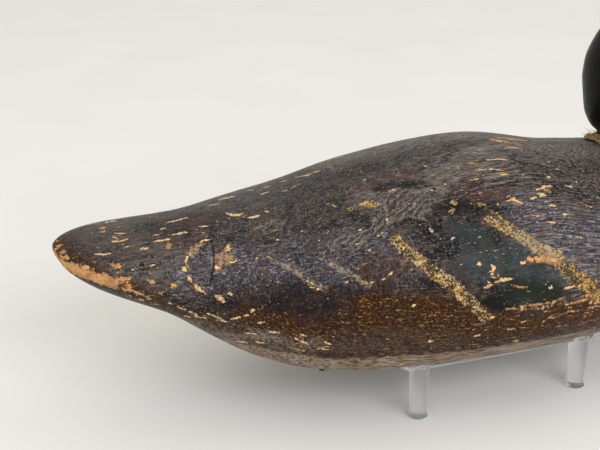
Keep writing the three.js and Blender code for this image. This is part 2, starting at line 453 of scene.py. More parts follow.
@dataclass(frozen=True)
class Studio:
    """Floor, lamps and the light of the room."""

    floor_reach: float = 5000.0
    floor_drop: float = 0.1
    room_above: str = "#f3f4f4"
    room_low: str = "#e6dfd2"
    room_strength: float = 0.87
    room_edges: Pair = (-0.1, 0.7)
    lamps: tuple[Softbox, ...] = (
        Softbox("overhead", (-250, -250, 1500), (-50, 0, 60), (1600, 1000), 3.0, "#fdfaf4"),
        Softbox("window", (500, -2100, 1400), (-60, 0, 60), (2000, 1200), 42.0, "#e9ebfa"),
    )

    def build(self) -> None:
        """Build the floor, the lamps and the room's light."""
        # The floor lies a hair under the clear feet, so that light leaves them before it meets the card
        corners = np.array([(-1, -1, 0), (1, -1, 0), (1, 1, 0), (-1, 1, 0)]) * self.floor_reach
        corners -= (0.0, 0.0, self.floor_drop)
        floor = make_piece("floor", corners, [(0, 1, 2, 3)])
        floor.data.materials.append(PaleBoard().material())
        for lamp in self.lamps:
            lamp.build()
        world = bpy.data.worlds.new("room")
        bpy.context.scene.world = world
        world.use_nodes = True
        tree = world.node_tree
        tree.nodes.clear()
        way = add_node(tree, "TexCoord", out="Generated")
        rise = add_node(tree, "SeparateXYZ", {0: way}, out="Z")
        low, high = self.room_edges
        share = add_node(tree, "MapRange", {0: rise, 1: low, 2: high})
        low, high = linear(self.room_low), linear(self.room_above)
        mixed = {MIX_FACTOR: share, MIX_UNDER: low, MIX_OVER: high}
        colour = add_node(tree, "Mix", mixed, **MIX_COLOURS)
        glow = add_node(tree, "Background", {"Color": colour, "Strength": self.room_strength})
        add_node(tree, "OutputWorld", {"Surface": glow}, out=None)
        bpy.context.scene.view_settings.view_transform = "Standard"


class Coat(Enum):
    """Paint marks and losses that have an edge, by the mesh attribute that maps them."""

    OCHRE = "ochre_bar"
    STRONG = "strong_ochre"
    GREEN = "green_panel"
    DEEP = "deep_green_patch"
    BLACK = "black_patch"
    FLAKED = "flaked_patch"
    WEATHERED = "weathered_wood"
    GRAZED = "grazed_line"
    BARE = "bare_wood"
    CREAM = "cream_chip"
    CRACK = "drying_crack"


class Zone(Enum):
    """Soft areas where the paint changes gradually, by the mesh attribute that maps them."""

    WORN = "worn_to_orange"
    RED = "red_brown"
    # Weathered grey paint, and along the ridge a painted highlight
    GREY = "grey_weathered"
    # Painted sheen: lavender colour that stands in for the gloss reflecting cool light along the flanks
    LAVENDER = "lavender_bloom"
    MAROON = "maroon"
    LOW = "bare_low_edge"
    GRAIN = "open_grain"
    SPECKED = "specked"


@dataclass(frozen=True)
class Mark:
    """Strokes of one coat or zone, each a line of pixels on the photograph.

    A line runs through pixels given as across, down, across, down. It is found on the
    surface through the camera. The half width is in millimetres on the wood, and the
    fade is how far a zone takes to die away.
    """

    name: str
    kind: Coat | Zone
    half_width: float
    lines: tuple[Pixels, ...]
    strength: float = 1.0
    fade: float = 8.0


@dataclass(frozen=True)
class Sprinkle:
    """Small losses scattered at random over a part of the surface, along the grain."""

    name: str
    kind: Coat
    count: int
    stations: Pair
    girths: Pair
    lengths: Pair
    half_widths: Pair
    tilt: float = 0.12


@dataclass
class Ribbon:
    """A stroke found on the surface, in millimetres."""

    line: Array
    half_width: float
    pointed: bool
    strength: float = 1.0
    fade: float = 8.0


# Wear and marks of the side that the photograph shows
NEAR_MARKS: tuple[Mark, ...] = (
    Mark("flaked patch", Coat.FLAKED, 5.6, ((392, 214, 402, 204, 414, 200, 424, 207),)),
    Mark("flaked patch lobes", Coat.FLAKED, 3.6, ((379, 222, 388, 216, 396, 208), (388, 201, 401, 194,
        411, 196), (376, 232, 384, 224), (408, 212, 420, 211))),
    Mark("flaked patch, small lobes", Coat.FLAKED, 1.7, ((418, 200, 426, 205), (424, 192, 434, 190,
        444, 192), (420, 212, 426, 208))),
    Mark("flaked tail", Coat.FLAKED, 1.5, ((330, 246, 344, 240, 361, 236, 377, 230), (352, 245,
        368, 243))),
    Mark("pink patch by the seam", Coat.FLAKED, 3.2, ((262, 230, 272, 225, 282, 226),)),
    Mark("square patch", Coat.WEATHERED, 2.6, ((213, 258, 224, 259, 232, 261), (220, 263, 227, 252),
        (216, 265, 222, 264))),
    Mark("worn middle of the front bar", Coat.GRAZED, 2.9, ((516, 234, 541, 250, 557, 257),)),
    Mark("rubbed top of the front bar", Coat.GRAZED, 0.8, ((494, 220, 508, 229, 520, 237),)),
    Mark("brown spot beside the bar", Zone.RED, 1.8, ((452, 271, 462, 268), (456, 278, 466, 279)),
        fade=3.0),
    Mark("worn tail edge", Coat.BARE, 3.4, ((52, 246, 54, 254, 60, 264, 72, 270, 85, 275, 103, 281,
        118, 286),)),
    Mark("worn tail tip", Coat.BARE, 0.9, ((56, 236, 52, 241, 51, 248),)),
    Mark("scratch, rear", Coat.GRAZED, 1.2, ((282, 264.5, 298.5, 272.6, 311.5, 283.5, 327, 290),)),
    Mark("scratch, front", Coat.GRAZED, 1.1, ((330, 263.5, 346, 271, 356, 277, 371, 287),)),
    Mark("scratch ends", Coat.GRAZED, 0.4, ((265, 255.5, 282, 264.5), (319, 258, 330, 263.5))),
    Mark("crescent, worn", Coat.WEATHERED, 1.9, ((203, 242, 196, 247, 190, 256),)),
    Mark("crescent, worn foot", Coat.WEATHERED, 1.1, ((187, 262, 186, 270), (195, 286, 200, 291))),
    Mark("drying crack", Coat.CRACK, 0.26, ((213, 247, 214, 256, 214, 264, 213, 272, 211.5, 279,
        210, 286),)),
    Mark("worn spots by the tail of the patch", Zone.WORN, 4.0, ((368, 268, 378, 278), (388, 266,
        400, 263)), strength=0.4, fade=5.0),
    Mark("red over the back", Zone.RED, 2.6, ((365, 186, 385, 180, 402, 175, 416, 172),), strength=0.8,
        fade=5.0),
    Mark("red strong spot", Zone.RED, 1.7, ((397, 175.5, 413, 173),), fade=2.5),
    Mark("red front", Zone.RED, 3.2, ((462, 192, 476, 190), (482, 195, 506, 195)), strength=0.85,
        fade=5.0),
    Mark("red near the tail", Zone.RED, 4.5, ((190, 221, 200, 217, 212, 216),), strength=0.8, fade=5.0),
    Mark("red spots", Zone.RED, 2.2, ((296, 320, 312, 324), (427, 300, 434, 301), (452, 304, 462, 309)),
        strength=0.75, fade=5.0),
)
# Chips and streaks of that side, each narrowing to both ends
CHIP_MARKS: tuple[Mark, ...] = (
    Mark("ochre spots", Coat.OCHRE, 1.5, ((426, 190, 434, 188), (450, 202, 458, 203), (478, 204,
        485, 205), (347, 209, 353, 210), (448, 213, 454, 212))),
    Mark("ochre blob", Coat.OCHRE, 2.7, ((360, 205, 370, 203, 381, 205),)),
    Mark("black band over the patch", Coat.BLACK, 3.2, ((372, 190, 395, 184, 420, 184, 437, 190),
        (432, 212, 455, 205, 480, 210))),
    Mark("tan patches over the front bar", Coat.WEATHERED, 1.7, ((511, 200, 517, 202, 523, 204),
        (541, 188, 548, 190, 550, 194))),
    Mark("worn rim of the bare patch", Coat.WEATHERED, 2.0, ((524, 259.5, 545, 259, 563, 263),)),
    Mark("torn tail edge", Coat.BARE, 1.0, ((112, 281, 124, 279, 131, 278), (120, 288, 134, 292,
        144, 296), (60, 244, 57, 248), (60, 256, 68, 259), (55, 239, 58, 241), (61, 250, 64, 253),
        (76, 265, 92, 268), (100, 274, 110, 277), (126, 284, 132, 286), (146, 298, 152, 300))),
    Mark("orange spots near the tail", Coat.BARE, 1.5, ((98, 228, 106, 227), (100, 232, 106, 231),
        (110, 265, 122, 266), (168, 243, 169, 249), (150, 282, 154, 283), (172, 284, 175, 287),
        (160, 293, 163, 294))),
    Mark("bare patch on the front bar", Coat.BARE, 1.3, ((527, 259, 545, 258.5, 560, 262),)),
    Mark("bare streaks", Coat.BARE, 0.5, ((506, 309, 520, 309), (518, 307, 534, 305, 542, 303),
        (540, 304, 552, 303, 566, 297), (572, 303, 586, 300), (590, 302, 606, 298), (513, 286.5,
        527, 287))),
    Mark("bare patch on the ridge", Coat.BARE, 1.7, ((490, 139.5, 497, 140, 503, 141), (505, 138,
        514, 139, 527, 140))),
    Mark("bare streaks on the ridge", Coat.BARE, 0.5, ((460, 135.5, 468, 136), (504, 147, 511, 147),
        (515, 148, 521, 148), (466, 163, 478, 164), (520, 174, 526, 175), (449, 153, 457, 154.5))),
    Mark("thin streaks over the back", Coat.CREAM, 0.42, ((475, 170.5, 492, 169, 504, 170.5), (485, 160,
        500, 159, 514, 161), (496, 138, 506, 137.5), (512, 138, 526, 140), (500, 142, 510, 142))),
    Mark("scratch rims", Coat.CREAM, 0.18, ((267, 256, 271, 258), (290, 269, 297, 272), (308, 281,
        316, 286), (345, 271, 352, 275), (362, 281, 368, 284))),
    Mark("crescent", Coat.CREAM, 0.55, ((209.6, 239.4, 203, 240.5, 198, 244), (191, 253, 187, 258,
        185, 263), (184.5, 266, 186, 272), (188, 276, 192, 282), (198, 288, 207, 295))),
    Mark("crescent, thick part", Coat.CREAM, 0.8, ((194, 284, 200, 291),)),
    Mark("chip under the crescent", Coat.CREAM, 1.3, ((215, 296, 220, 298, 224, 302), (228, 294,
        232, 293))),
    Mark("rim of the square patch", Coat.CREAM, 0.55, ((224, 250, 227.6, 246, 231, 253), (229, 263,
        240, 260), (214, 267, 221, 268))),
    Mark("chips near the tail", Coat.CREAM, 0.7, ((113, 233, 121, 233.5, 128, 233.5), (111, 241,
        120, 241.5, 127, 239), (94, 254, 103, 254.5, 111, 253.5), (140, 249, 149, 248), (152, 242,
        161, 240.5, 171, 239), (171, 235, 179, 233.5, 188, 232), (199, 226.5, 208, 226), (165, 223,
        175, 221, 187, 217.5), (154, 235, 159, 234.5), (160, 229, 166, 228), (130, 271, 135, 269),
        (112, 237, 117, 238))),
    Mark("bright chips behind the shoulder", Coat.CREAM, 1.1, ((225, 212.5, 232, 215, 238, 215.5,
        243, 213), (246, 218, 253, 217.5, 260, 215), (264, 212, 268, 211))),
    Mark("chips under the ridge", Coat.CREAM, 0.62, ((209, 205.5, 216, 204.5, 223, 203), (219, 198,
        228, 197, 237, 196), (246, 190.5, 254, 190), (295, 177, 309, 175), (309, 173, 320, 171),
        (318, 163, 330, 160), (334, 158.5, 344, 156), (280, 182, 288, 180), (262, 188, 270, 186))),
    Mark("chips on the lower rear flank", Coat.CREAM, 0.52, ((178, 307, 186, 310), (188, 311, 196, 314),
        (194, 316, 206, 318), (206, 313, 220, 318), (184, 316, 190, 317), (216, 320, 228, 322),
        (230, 320, 241, 317), (251, 312, 254, 309), (152, 304, 158, 304.5), (168, 303, 172, 304),
        (140, 299, 144, 301))),
    Mark("chips on the grey band", Coat.CREAM, 0.4, ((244, 333, 256, 334), (268, 332, 280, 333),
        (294, 338, 308, 344), (288, 347, 304, 351), (236, 341, 248, 343), (256, 342, 264, 343),
        (318, 348, 330, 350), (258, 323, 264, 322), (300, 334, 306, 336), (322, 341, 332, 345))),
    Mark("chips on the green panel", Coat.CREAM, 0.72, ((476, 264.5, 482, 263), (491, 265, 495, 268),
        (490, 275, 494, 273), (484, 288, 493, 284.5), (494, 283, 502, 279.5, 514, 278.5), (429, 228,
        433, 232))),
    Mark("chips over the front bar", Coat.CREAM, 0.62, ((507, 201, 514, 199, 523, 204), (536, 190,
        546, 186, 552, 186), (538, 196, 546, 195), (530, 199, 537, 197), (548, 205, 556, 206),
        (562, 214, 568, 214), (508, 196, 512, 197))),
    Mark("small chips over the back", Coat.CREAM, 0.45, ((447, 153, 453, 152), (424, 166, 428, 167),
        (440, 157, 442, 158), (505, 147, 520, 148), (478, 150, 484, 150), (456, 168, 462, 168),
        (500, 175, 508, 174), (556, 169, 560, 170), (470, 180, 478, 179), (573, 181, 578, 182),
        (586, 206, 592, 207), (566, 186, 574, 187), (546, 177, 551, 177), (530, 215, 540, 216),
        (548, 222, 556, 223), (577, 237, 583, 238))),
    Mark("rim of the flaked patch", Coat.CREAM, 0.42, ((378, 236, 383, 232), (354, 244, 362, 243),
        (366, 251, 371, 250), (386, 220, 389, 217), (402, 249, 408, 247))),
    Mark("gold streaks low on the front flank", Coat.BARE, 0.28, ((512, 311, 524, 310), (536, 309,
        552, 306), (564, 305, 582, 302), (578, 297, 596, 294), (548, 318, 558, 317), (568, 312,
        580, 311), (588, 308, 600, 306), (556, 327, 566, 325), (520, 322, 530, 321), (502, 330,
        516, 329), (584, 316, 590, 315))),
    Mark("chips on the black", Coat.CREAM, 0.7, ((565, 288, 575, 286), (557, 251, 561, 252), (521, 262,
        525, 263), (549, 287, 553, 288))),
)
# Painted bars and broad wear, the same on both sides
PAIRED_MARKS: tuple[Mark, ...] = (
    Mark("rear ochre bar", Coat.OCHRE, 2.9, ((393, 237, 410, 254.6, 431, 270, 454, 287, 473, 304.6,
        489, 321),)),
    Mark("front ochre bar", Coat.OCHRE, 3.3, ((488, 215, 510, 230, 531, 243, 548, 253, 562, 263,
        575, 276, 588, 286, 606, 297),)),
    Mark("front ochre bar, strong end", Coat.OCHRE, 3.9, ((570, 272, 588, 285, 606, 296),)),
    Mark("full colour at the front bar's foot", Coat.STRONG, 3.8, ((564, 268, 576, 276, 588, 285,
        606, 296),)),
    Mark("green panel", Coat.GREEN, 11.0, ((462, 246, 482, 254, 500, 262, 519, 274, 541, 288,
        556, 298),)),
    Mark("green panel top", Coat.GREEN, 5.0, ((452, 232, 470, 236, 490, 242),)),
    Mark("deep green foot of the panel", Coat.DEEP, 6.0, ((505, 288, 524, 291, 545, 295, 560, 299),)),
    Mark("black behind the bar", Coat.BLACK, 5.5, ((481, 297, 495, 301, 509, 303),)),
    Mark("worn flank, middle", Zone.WORN, 5.0, ((366, 311, 392, 313, 425, 317, 455, 318, 478, 323),),
        fade=9.0),
    Mark("worn flank, middle low", Zone.WORN, 6.0, ((330, 334, 380, 328, 420, 333, 460, 333,
        500, 328),), strength=0.72, fade=9.0),
    Mark("worn flank, rear", Zone.WORN, 3.6, ((250, 316, 262, 319, 275, 325, 300, 334),), strength=0.95,
        fade=6.0),
    Mark("worn flank, front", Zone.WORN, 5.5, ((490, 326, 535, 321, 570, 315, 606, 309),), strength=0.9,
        fade=6.0),
    Mark("worn rear edge", Zone.WORN, 2.4, ((128, 286, 150, 299, 176, 311, 205, 322, 240, 330),),
        strength=0.62, fade=4.0),
    Mark("worn under the grey band", Zone.WORN, 3.0, ((250, 346, 290, 352, 330, 354, 380, 352,
        430, 347),), strength=0.6, fade=6.0),
    Mark("worn tail tip", Zone.WORN, 3.0, ((56, 238, 58, 250, 68, 262, 90, 272),), strength=0.7,
        fade=5.0),
    Mark("red tail", Zone.RED, 6.0, ((66, 240, 92, 238, 110, 246, 134, 241, 150, 236),), strength=0.38,
        fade=10.0),
    Mark("maroon flank", Zone.MAROON, 7.5, ((296, 306, 322, 312, 350, 310, 370, 300),), fade=12.0),
    Mark("maroon behind the scratch", Zone.MAROON, 5.0, ((225, 300, 255, 300, 290, 300),),
        strength=0.55, fade=9.0),
    Mark("maroon tail", Zone.MAROON, 5.0, ((66, 252, 92, 262, 110, 272), (390, 290, 420, 298,
        446, 306)), strength=0.5, fade=8.0),
    # Painted sheen: these lavender zones put the reflection of cool light on the flanks into the
    # paint's colour
    Mark("lavender rear", Zone.LAVENDER, 7.0, ((198, 276, 222, 273, 246, 269, 268, 268),), fade=10.0),
    Mark("lavender middle", Zone.LAVENDER, 11.0, ((302, 262, 325, 262, 350, 260, 374, 262),),
        strength=0.6, fade=14.0),
    Mark("lavender front", Zone.LAVENDER, 10.0, ((540, 222, 565, 238, 590, 246, 620, 250),), fade=12.0),
    Mark("lavender tail", Zone.LAVENDER, 2.5, ((88, 264, 110, 272, 126, 274),), strength=0.6, fade=5.0),
    Mark("dusty tail", Zone.GREY, 4.0, ((92, 232, 120, 238, 150, 246, 176, 262), (112, 262, 140, 268,
        168, 274)), strength=0.36, fade=9.0),
    Mark("grey rear band", Zone.GREY, 4.4, ((190, 323, 215, 330, 245, 337, 280, 341, 310, 343),),
        fade=5.0),
    Mark("grey band, middle", Zone.GREY, 4.0, ((310, 339, 350, 342, 400, 343, 450, 339),),
        strength=0.34, fade=8.0),
    # Painted highlight: light along the top edge of the back, put into the paint's colour
    Mark("ridge, painted highlight", Zone.GREY, 5.0, ((330, 162, 380, 147, 430, 137, 480, 135, 530, 139, 600, 141),),
        strength=0.62, fade=9.0),
    Mark("bare low edge, rear", Zone.LOW, 6.0, ((222, 341, 246, 351, 276, 359, 320, 366),), fade=4.0),
    Mark("worn low flank, front", Zone.WORN, 5.0, ((440, 344, 490, 339, 540, 331, 600, 318),),
        strength=0.62, fade=6.0),
    Mark("bare low edge, middle", Zone.LOW, 4.6, ((320, 366, 370, 366, 420, 362, 480, 355, 540, 345,
        606, 331),), strength=0.95, fade=4.5),
    Mark("open grain over the back", Zone.GRAIN, 15.0, ((440, 172, 480, 168, 520, 164, 560, 168,
        606, 170),), fade=14.0),
    Mark("open grain by the red", Zone.GRAIN, 5.0, ((362, 186, 400, 178, 440, 178, 510, 192),),
        fade=7.0),
    Mark("open grain, green", Zone.GRAIN, 7.0, ((500, 282, 525, 290, 552, 298),), strength=0.7,
        fade=5.0),
    Mark("open grain, front", Zone.GRAIN, 13.0, ((560, 195, 590, 205, 620, 210), (560, 240, 590, 262,
        606, 280)), strength=0.8, fade=10.0),
    Mark("specked flank", Zone.SPECKED, 14.0, ((250, 235, 285, 226, 330, 218, 372, 222, 375, 248),),
        fade=14.0),
    Mark("specked back", Zone.SPECKED, 9.0, ((290, 196, 340, 190, 360, 200),), strength=0.5, fade=12.0),
    Mark("specked tail", Zone.SPECKED, 10.0, ((120, 256, 150, 262, 180, 262),), fade=12.0),
)

SPRINKLES: tuple[Sprinkle, ...] = (
    Sprinkle("far tail chips", Coat.CREAM, 22, (20, 120), (-66, -16), (2.5, 7.0), (0.4, 0.85)),
    Sprinkle("far shoulder chips", Coat.CREAM, 20, (110, 300), (-95, -10), (2.5, 6.0), (0.35, 0.8)),
    Sprinkle("far flank chips", Coat.CREAM, 26, (70, 330), (-150, -95), (2.0, 6.0), (0.35, 0.7)),
    Sprinkle("breast chips, near", Coat.CREAM, 16, (285, 348), (10, 120), (1.5, 4.5), (0.35, 0.8)),
    Sprinkle("breast chips, far", Coat.CREAM, 14, (285, 348), (-120, -10), (1.5, 4.5), (0.35, 0.8)),
    Sprinkle("far bare spots", Coat.BARE, 9, (30, 320), (-110, -15), (2.5, 7.0), (0.6, 1.4)),
    Sprinkle("breast bare spots", Coat.BARE, 7, (310, 348), (-70, 90), (2.0, 4.5), (0.7, 1.4)),
    Sprinkle("crumbs near the tail", Coat.CREAM, 26, (22, 110), (12, 75), (0.8, 2.2), (0.3, 0.45)),
    Sprinkle("crumbs over the back", Coat.CREAM, 30, (110, 300), (12, 90), (0.8, 2.0), (0.3, 0.42)),
    Sprinkle("crumbs on the flank", Coat.CREAM, 30, (70, 330), (95, 150), (1.0, 3.0), (0.3, 0.55)),
)


def fill_line(line: Pixels, step: float) -> list[Pair]:
    """Fill in a line with closely spaced pixels.

    Args:
        line: The line of a mark.
        step: The greatest distance between pixels.

    Returns:
        The pixels, across and down.
    """
    corners = list(zip(line[::2], line[1::2]))
    pixels = []
    for start, end in zip(corners[:-1], corners[1:]):
        across, down = end[0] - start[0], end[1] - start[1]
        steps = max(2, int(np.hypot(across, down) / step) + 1)
        shares = [k / steps for k in range(steps)]
        pixels += [(start[0] + across * share, start[1] + down * share) for share in shares]
    return pixels + corners[-1:]


# Further off than anything on the object
FAR = 1000.0
# A ribbon is measured out to its reach, and beyond its rim only the distance from it counts
RIBBON_REACH, RIBBON_RIM = 7.0, 2.4


def map_ribbons(points: Array, normals: Array, ribbons: list[Ribbon]) -> Array:
    """Measure every point against the nearest ribbon.

    Args:
        points: Points of the surface.
        normals: The surface's outward directions there.
        ribbons: The strokes of one coat or zone.

    Returns:
        Three numbers a point: the offset from the ribbon's middle line with its side as
        the sign, the distance inside its ends, and its half width there.
    """
    found = np.zeros((len(points), 3))
    found[:, 1] = -FAR
    best = np.full(len(points), FAR)
    for ribbon in ribbons:
        edge = RIBBON_REACH + ribbon.half_width
        low, high = ribbon.line.min(0) - edge, ribbon.line.max(0) + edge
        near = np.flatnonzero(((points > low) & (points < high)).all(1))
        if not len(near):
            continue
        spans = np.diff(ribbon.line, axis=0)
        lengths = np.linalg.norm(spans, axis=1)
        starts = np.concatenate([[0.0], np.cumsum(lengths)])
        whole = starts[-1]
        nearest = np.full(len(near), FAR)
        offset, run = np.zeros(len(near)), np.zeros(len(near))
        for k, (span, length) in enumerate(zip(spans, lengths)):
            way = span / length
            rel = points[near] - ribbon.line[k]
            along = rel @ way
            held = np.clip(along, 0.0, length)
            gap = np.linalg.norm(rel - held[:, None] * way, axis=1)
            side = np.einsum("ij,ij->i", np.cross(normals[near], way), rel)
            first, last = k == 0, k == len(spans) - 1
            beyond = (first & (along < 0)) | (last & (along > length))
            closer = gap < nearest
            offset[closer] = np.where(beyond, side, np.sign(side) * gap)[closer]
            free = np.clip(along, -FAR if first else 0.0, FAR if last else length)
            run[closer] = (starts[k] + free)[closer]
            nearest[closer] = gap[closer]
        inside = np.minimum(run, whole - run)
        width = np.full(len(near), ribbon.half_width)
        if ribbon.pointed:
            share = np.clip(run / whole, 0.0, 1.0)
            width = ribbon.half_width * np.sqrt(4 * share * (1 - share))
        outside = np.maximum(np.abs(offset) - width, -inside)
        better = outside < best[near]
        chosen = near[better]
        best[chosen] = outside[better]
        inside = np.where(outside > RIBBON_RIM, -outside, inside)
        found[chosen] = np.stack([offset, inside, width], 1)[better]
    return found


def map_zone(points: Array, ribbons: list[Ribbon]) -> Array:
    """Measure how strongly a zone holds at every point.

    Args:
        points: Points of the surface.
        ribbons: The strokes of the zone.

    Returns:
        One number a point, from 0 to 1.
    """
    held = np.zeros(len(points))
    for ribbon in ribbons:
        gap = np.full(len(points), FAR)
        for start, end in zip(ribbon.line[:-1], ribbon.line[1:]):
            span = end - start
            rel = points - start
            share = np.clip(rel @ span / (span @ span), 0.0, 1.0)
            gap = np.minimum(gap, np.linalg.norm(rel - share[:, None] * span, axis=1))
        share = 1.0 - (gap - ribbon.half_width) / ribbon.fade
        held = np.maximum(held, ribbon.strength * smooth_step(share))
    return held


@dataclass
class PaintStack:
    """Coats laid one over another: their colour, thickness and roughness so far."""

    tree: Tree
    colour: Socket
    height: Socket
    roughness: Socket
    dust_spread: float = 0.4
    dust_colour: str = "#f4f0ea"

    def cover(
        self,
        mask: Socket,
        colour: str | Socket,
        height: float | Socket | None = None,
        roughness: float | None = None,
    ) -> None:
        """Lay one more coat where the mask is one.

        Args:
            mask: Where the coat lies.
            colour: Its colour.
            height: Its level over the wood in millimetres, or None to leave the level.
            roughness: Its roughness, or None to leave it.
        """
        over = linear(colour) if isinstance(colour, str) else colour
        mixed = {MIX_FACTOR: mask, MIX_UNDER: self.colour, MIX_OVER: over}
        self.colour = add_node(self.tree, "Mix", mixed, **MIX_COLOURS)
        if height is not None:
            self.height = add_node(self.tree, "Mix", {0: mask, 2: self.height, 3: height})
        if roughness is not None:
            self.roughness = add_node(self.tree, "Mix", {0: mask, 2: self.roughness, 3: roughness})

    def finish(self, specular: float, ior: float, bump: float, dust: float = 0.0) -> None:
        """Close the stack with a shader.

        Args:
            specular: The strength of its gloss.
            ior: Its index of refraction.
            bump: How strongly its thickness shows.
            dust: How much fine dust lightens it at a grazing look.
        """
        relief = add_node(self.tree, "Bump", {"Strength": bump, "Distance": MM, "Height": self.height})
        look = {
            "Base Color": self.colour, "Roughness": self.roughness, "IOR": ior, "Normal": relief,
            "Specular IOR Level": specular, "Sheen Weight": dust,
            "Sheen Roughness": self.dust_spread, "Sheen Tint": linear(self.dust_colour),
        }
        shader = add_node(self.tree, "BsdfPrincipled", look)
        add_node(self.tree, "OutputMaterial", {"Surface": shader}, out=None)


@dataclass
class WoodFields:
    """Patterns in the wood and paint, worked out from real sizes in millimetres.

    The grain runs along the block and leans down over the shoulder, as the carved
    surface cuts it. The growth rings are cylinders about the pith.
    """

    tree: Tree
    lean_from: float = 26.0
    lean_rate: float = 0.009
    lean_levels: Pair = (70.0, 105.0)
    pith_side: float = 14.0
    pith_level: float = 52.0
    ring_spacing: float = 1.9
    ring_bends: Pairs = ((34.0, 16.0), (9.0, 3.2))
    ridges_across: Triple = (-0.574, 0.491, 0.655)

    def __post_init__(self) -> None:
        """Lay out the coordinates and the rings."""
        tree = self.tree
        spot = add_node(tree, "TexCoord", out="Object")
        self.place = add_node(tree, "VectorMath", {0: spot, 3: 1 / MM}, operation="SCALE")
        parts = add_node(tree, "SeparateXYZ", {0: self.place}, out=None)
        ahead = add_node(tree, "Math", {0: parts.outputs[0], 1: self.lean_from}, operation="SUBTRACT")
        ahead = add_node(tree, "Math", {0: ahead, 1: 0.0}, operation="MAXIMUM")
        ahead = add_node(tree, "Math", {0: ahead, 1: 2.0}, operation="POWER")
        low, high = self.lean_levels
        rate = add_node(tree, "MapRange", {0: parts.outputs[2], 1: low, 2: high, 4: self.lean_rate})
        leaning = {0: ahead, 1: rate, 2: parts.outputs[2]}
        level = add_node(tree, "Math", leaning, operation="MULTIPLY_ADD")
        self.grain = add_node(tree, "CombineXYZ", {0: parts.outputs[0], 1: parts.outputs[1], 2: level})
        self.rings = self.make_rings(parts.outputs[1], level)

    def make_rings(self, side: Socket, level: Socket) -> Socket:
        """Make the growth rings.

        Args:
            side: Sideways distance.
            level: Level in the leaning grain.

        Returns:
            Lines from 0 to 1, one for each year.
        """
        tree = self.tree
        side = add_node(tree, "Math", {0: side, 1: self.pith_side}, operation="SUBTRACT")
        level = add_node(tree, "Math", {0: level, 1: self.pith_level}, operation="SUBTRACT")
        flat = add_node(tree, "CombineXYZ", {0: 0.0, 1: side, 2: level})
        radius = add_node(tree, "VectorMath", {0: flat}, out="Value", operation="LENGTH")
        for size, depth in self.ring_bends:
            bend = self.cloud(size, detail=1.0)
            radius = add_node(tree, "Math", {0: bend, 1: depth, 2: radius}, operation="MULTIPLY_ADD")
        turns = add_node(tree, "Math", {0: radius, 1: 2 * pi / self.ring_spacing}, operation="MULTIPLY")
        wave = add_node(tree, "Math", {0: turns}, operation="SINE")
        return add_node(tree, "MapRange", {0: wave, 1: -0.3, 2: 0.95})

    def cloud(self, size: float, detail: float = 3.0, rough: float = 0.5, shift: float = 0.0) -> Socket:
        """Make even noise.

        Args:
            size: The distance between its blots.
            detail: How many finer layers it has.
            rough: How strong the finer layers are.
            shift: A move that makes it unlike another of the same size.

        Returns:
            Noise around one half.
        """
        moved = add_node(self.tree, "VectorMath", {0: self.place, 1: (shift, shift, shift)})
        links = {"Vector": moved, "Scale": 1 / size, "Detail": detail, "Roughness": rough}
        return add_node(self.tree, "TexNoise", links)

    def streaks(
        self, length: float, width: float, detail: float = 3.0, shift: float = 0.0, rough: float = 0.6
    ) -> Socket:
        """Make noise drawn out along the grain, or across it where the width is the greater.

        Args:
            length: The streaks' length.
            width: Their width.
            detail: How many finer layers they have.
            shift: A move that makes them unlike others of the same size.
            rough: How strong the finer layers are.

        Returns:
            Noise around one half.
        """
        stretch = {0: self.grain, 1: (1 / length, 1 / width, 1 / width), 2: (shift, shift, shift)}
        drawn = add_node(self.tree, "VectorMath", stretch, operation="MULTIPLY_ADD")
        links = {"Vector": drawn, "Scale": 1.0, "Detail": detail, "Roughness": rough}
        return add_node(self.tree, "TexNoise", links)

    def wavy_bands(self, spacing: float, bend_size: float, bend: float) -> Socket:
        """Make the curved ridges that show in a flaked patch.

        Args:
            spacing: The distance between ridges.
            bend_size: The distance between their bends.
            bend: How far they bend.

        Returns:
            Soft bands from 0 to 1.
        """
        tree = self.tree
        across = {0: self.place, 1: self.ridges_across}
        lift = add_node(tree, "VectorMath", across, out="Value", operation="DOT_PRODUCT")
        wander_in = {0: self.cloud(bend_size, detail=1.5, shift=109.0), 1: bend, 2: lift}
        lift = add_node(tree, "Math", wander_in, operation="MULTIPLY_ADD")
        turns = add_node(tree, "Math", {0: lift, 1: 2 * pi / spacing}, operation="MULTIPLY")
        wave = add_node(tree, "Math", {0: turns}, operation="SINE")
        return self.patches(wave, -1.0, 1.0)

    def patches(
        self, pattern: Socket, low: float, high: float, top: float = 1.0, within: Socket | None = None
    ) -> Socket:
        """Turn a pattern into a mask.

        Args:
            pattern: The field to cut.
            low: Where the mask starts.
            high: Where it is full.
            top: Its greatest value.
            within: Another mask that it stays inside of.

        Returns:
            The mask.
        """
        mask = add_node(self.tree, "MapRange", {0: pattern, 1: low, 2: high, 4: top})
        if within is None:
            return mask
        return add_node(self.tree, "Math", {0: mask, 1: within}, operation="MULTIPLY")

    def mottled(self, pattern: Socket, low: float, high: float, first: str, second: str) -> Socket:
        """Vary a colour from the first at a low value of a pattern to the second at a high one."""
        mixed = {MIX_UNDER: linear(first), MIX_OVER: linear(second)}
        mixed[MIX_FACTOR] = add_node(self.tree, "MapRange", {0: pattern, 1: low, 2: high})
        return add_node(self.tree, "Mix", mixed, **MIX_COLOURS)

    def zone(
        self, zone: Zone, pattern: Socket, bite: float, soft: float = 0.2, top: float = 1.0
    ) -> Socket:
        """Read a soft zone from the mesh, with a pattern that eats into it.

        Args:
            zone: The zone to read.
            pattern: Noise around one half.
            bite: How strongly the noise moves the zone's edge.
            soft: Half the width of the edge.
            top: The mask's greatest value.

        Returns:
            The mask.
        """
        read = add_node(self.tree, "Attribute", out="Fac", attribute_name=zone.value)
        total = add_node(self.tree, "Math", {0: pattern, 1: bite, 2: read}, operation="MULTIPLY_ADD")
        middle = 0.5 + bite / 2
        return self.patches(total, middle - soft, middle + soft, top)

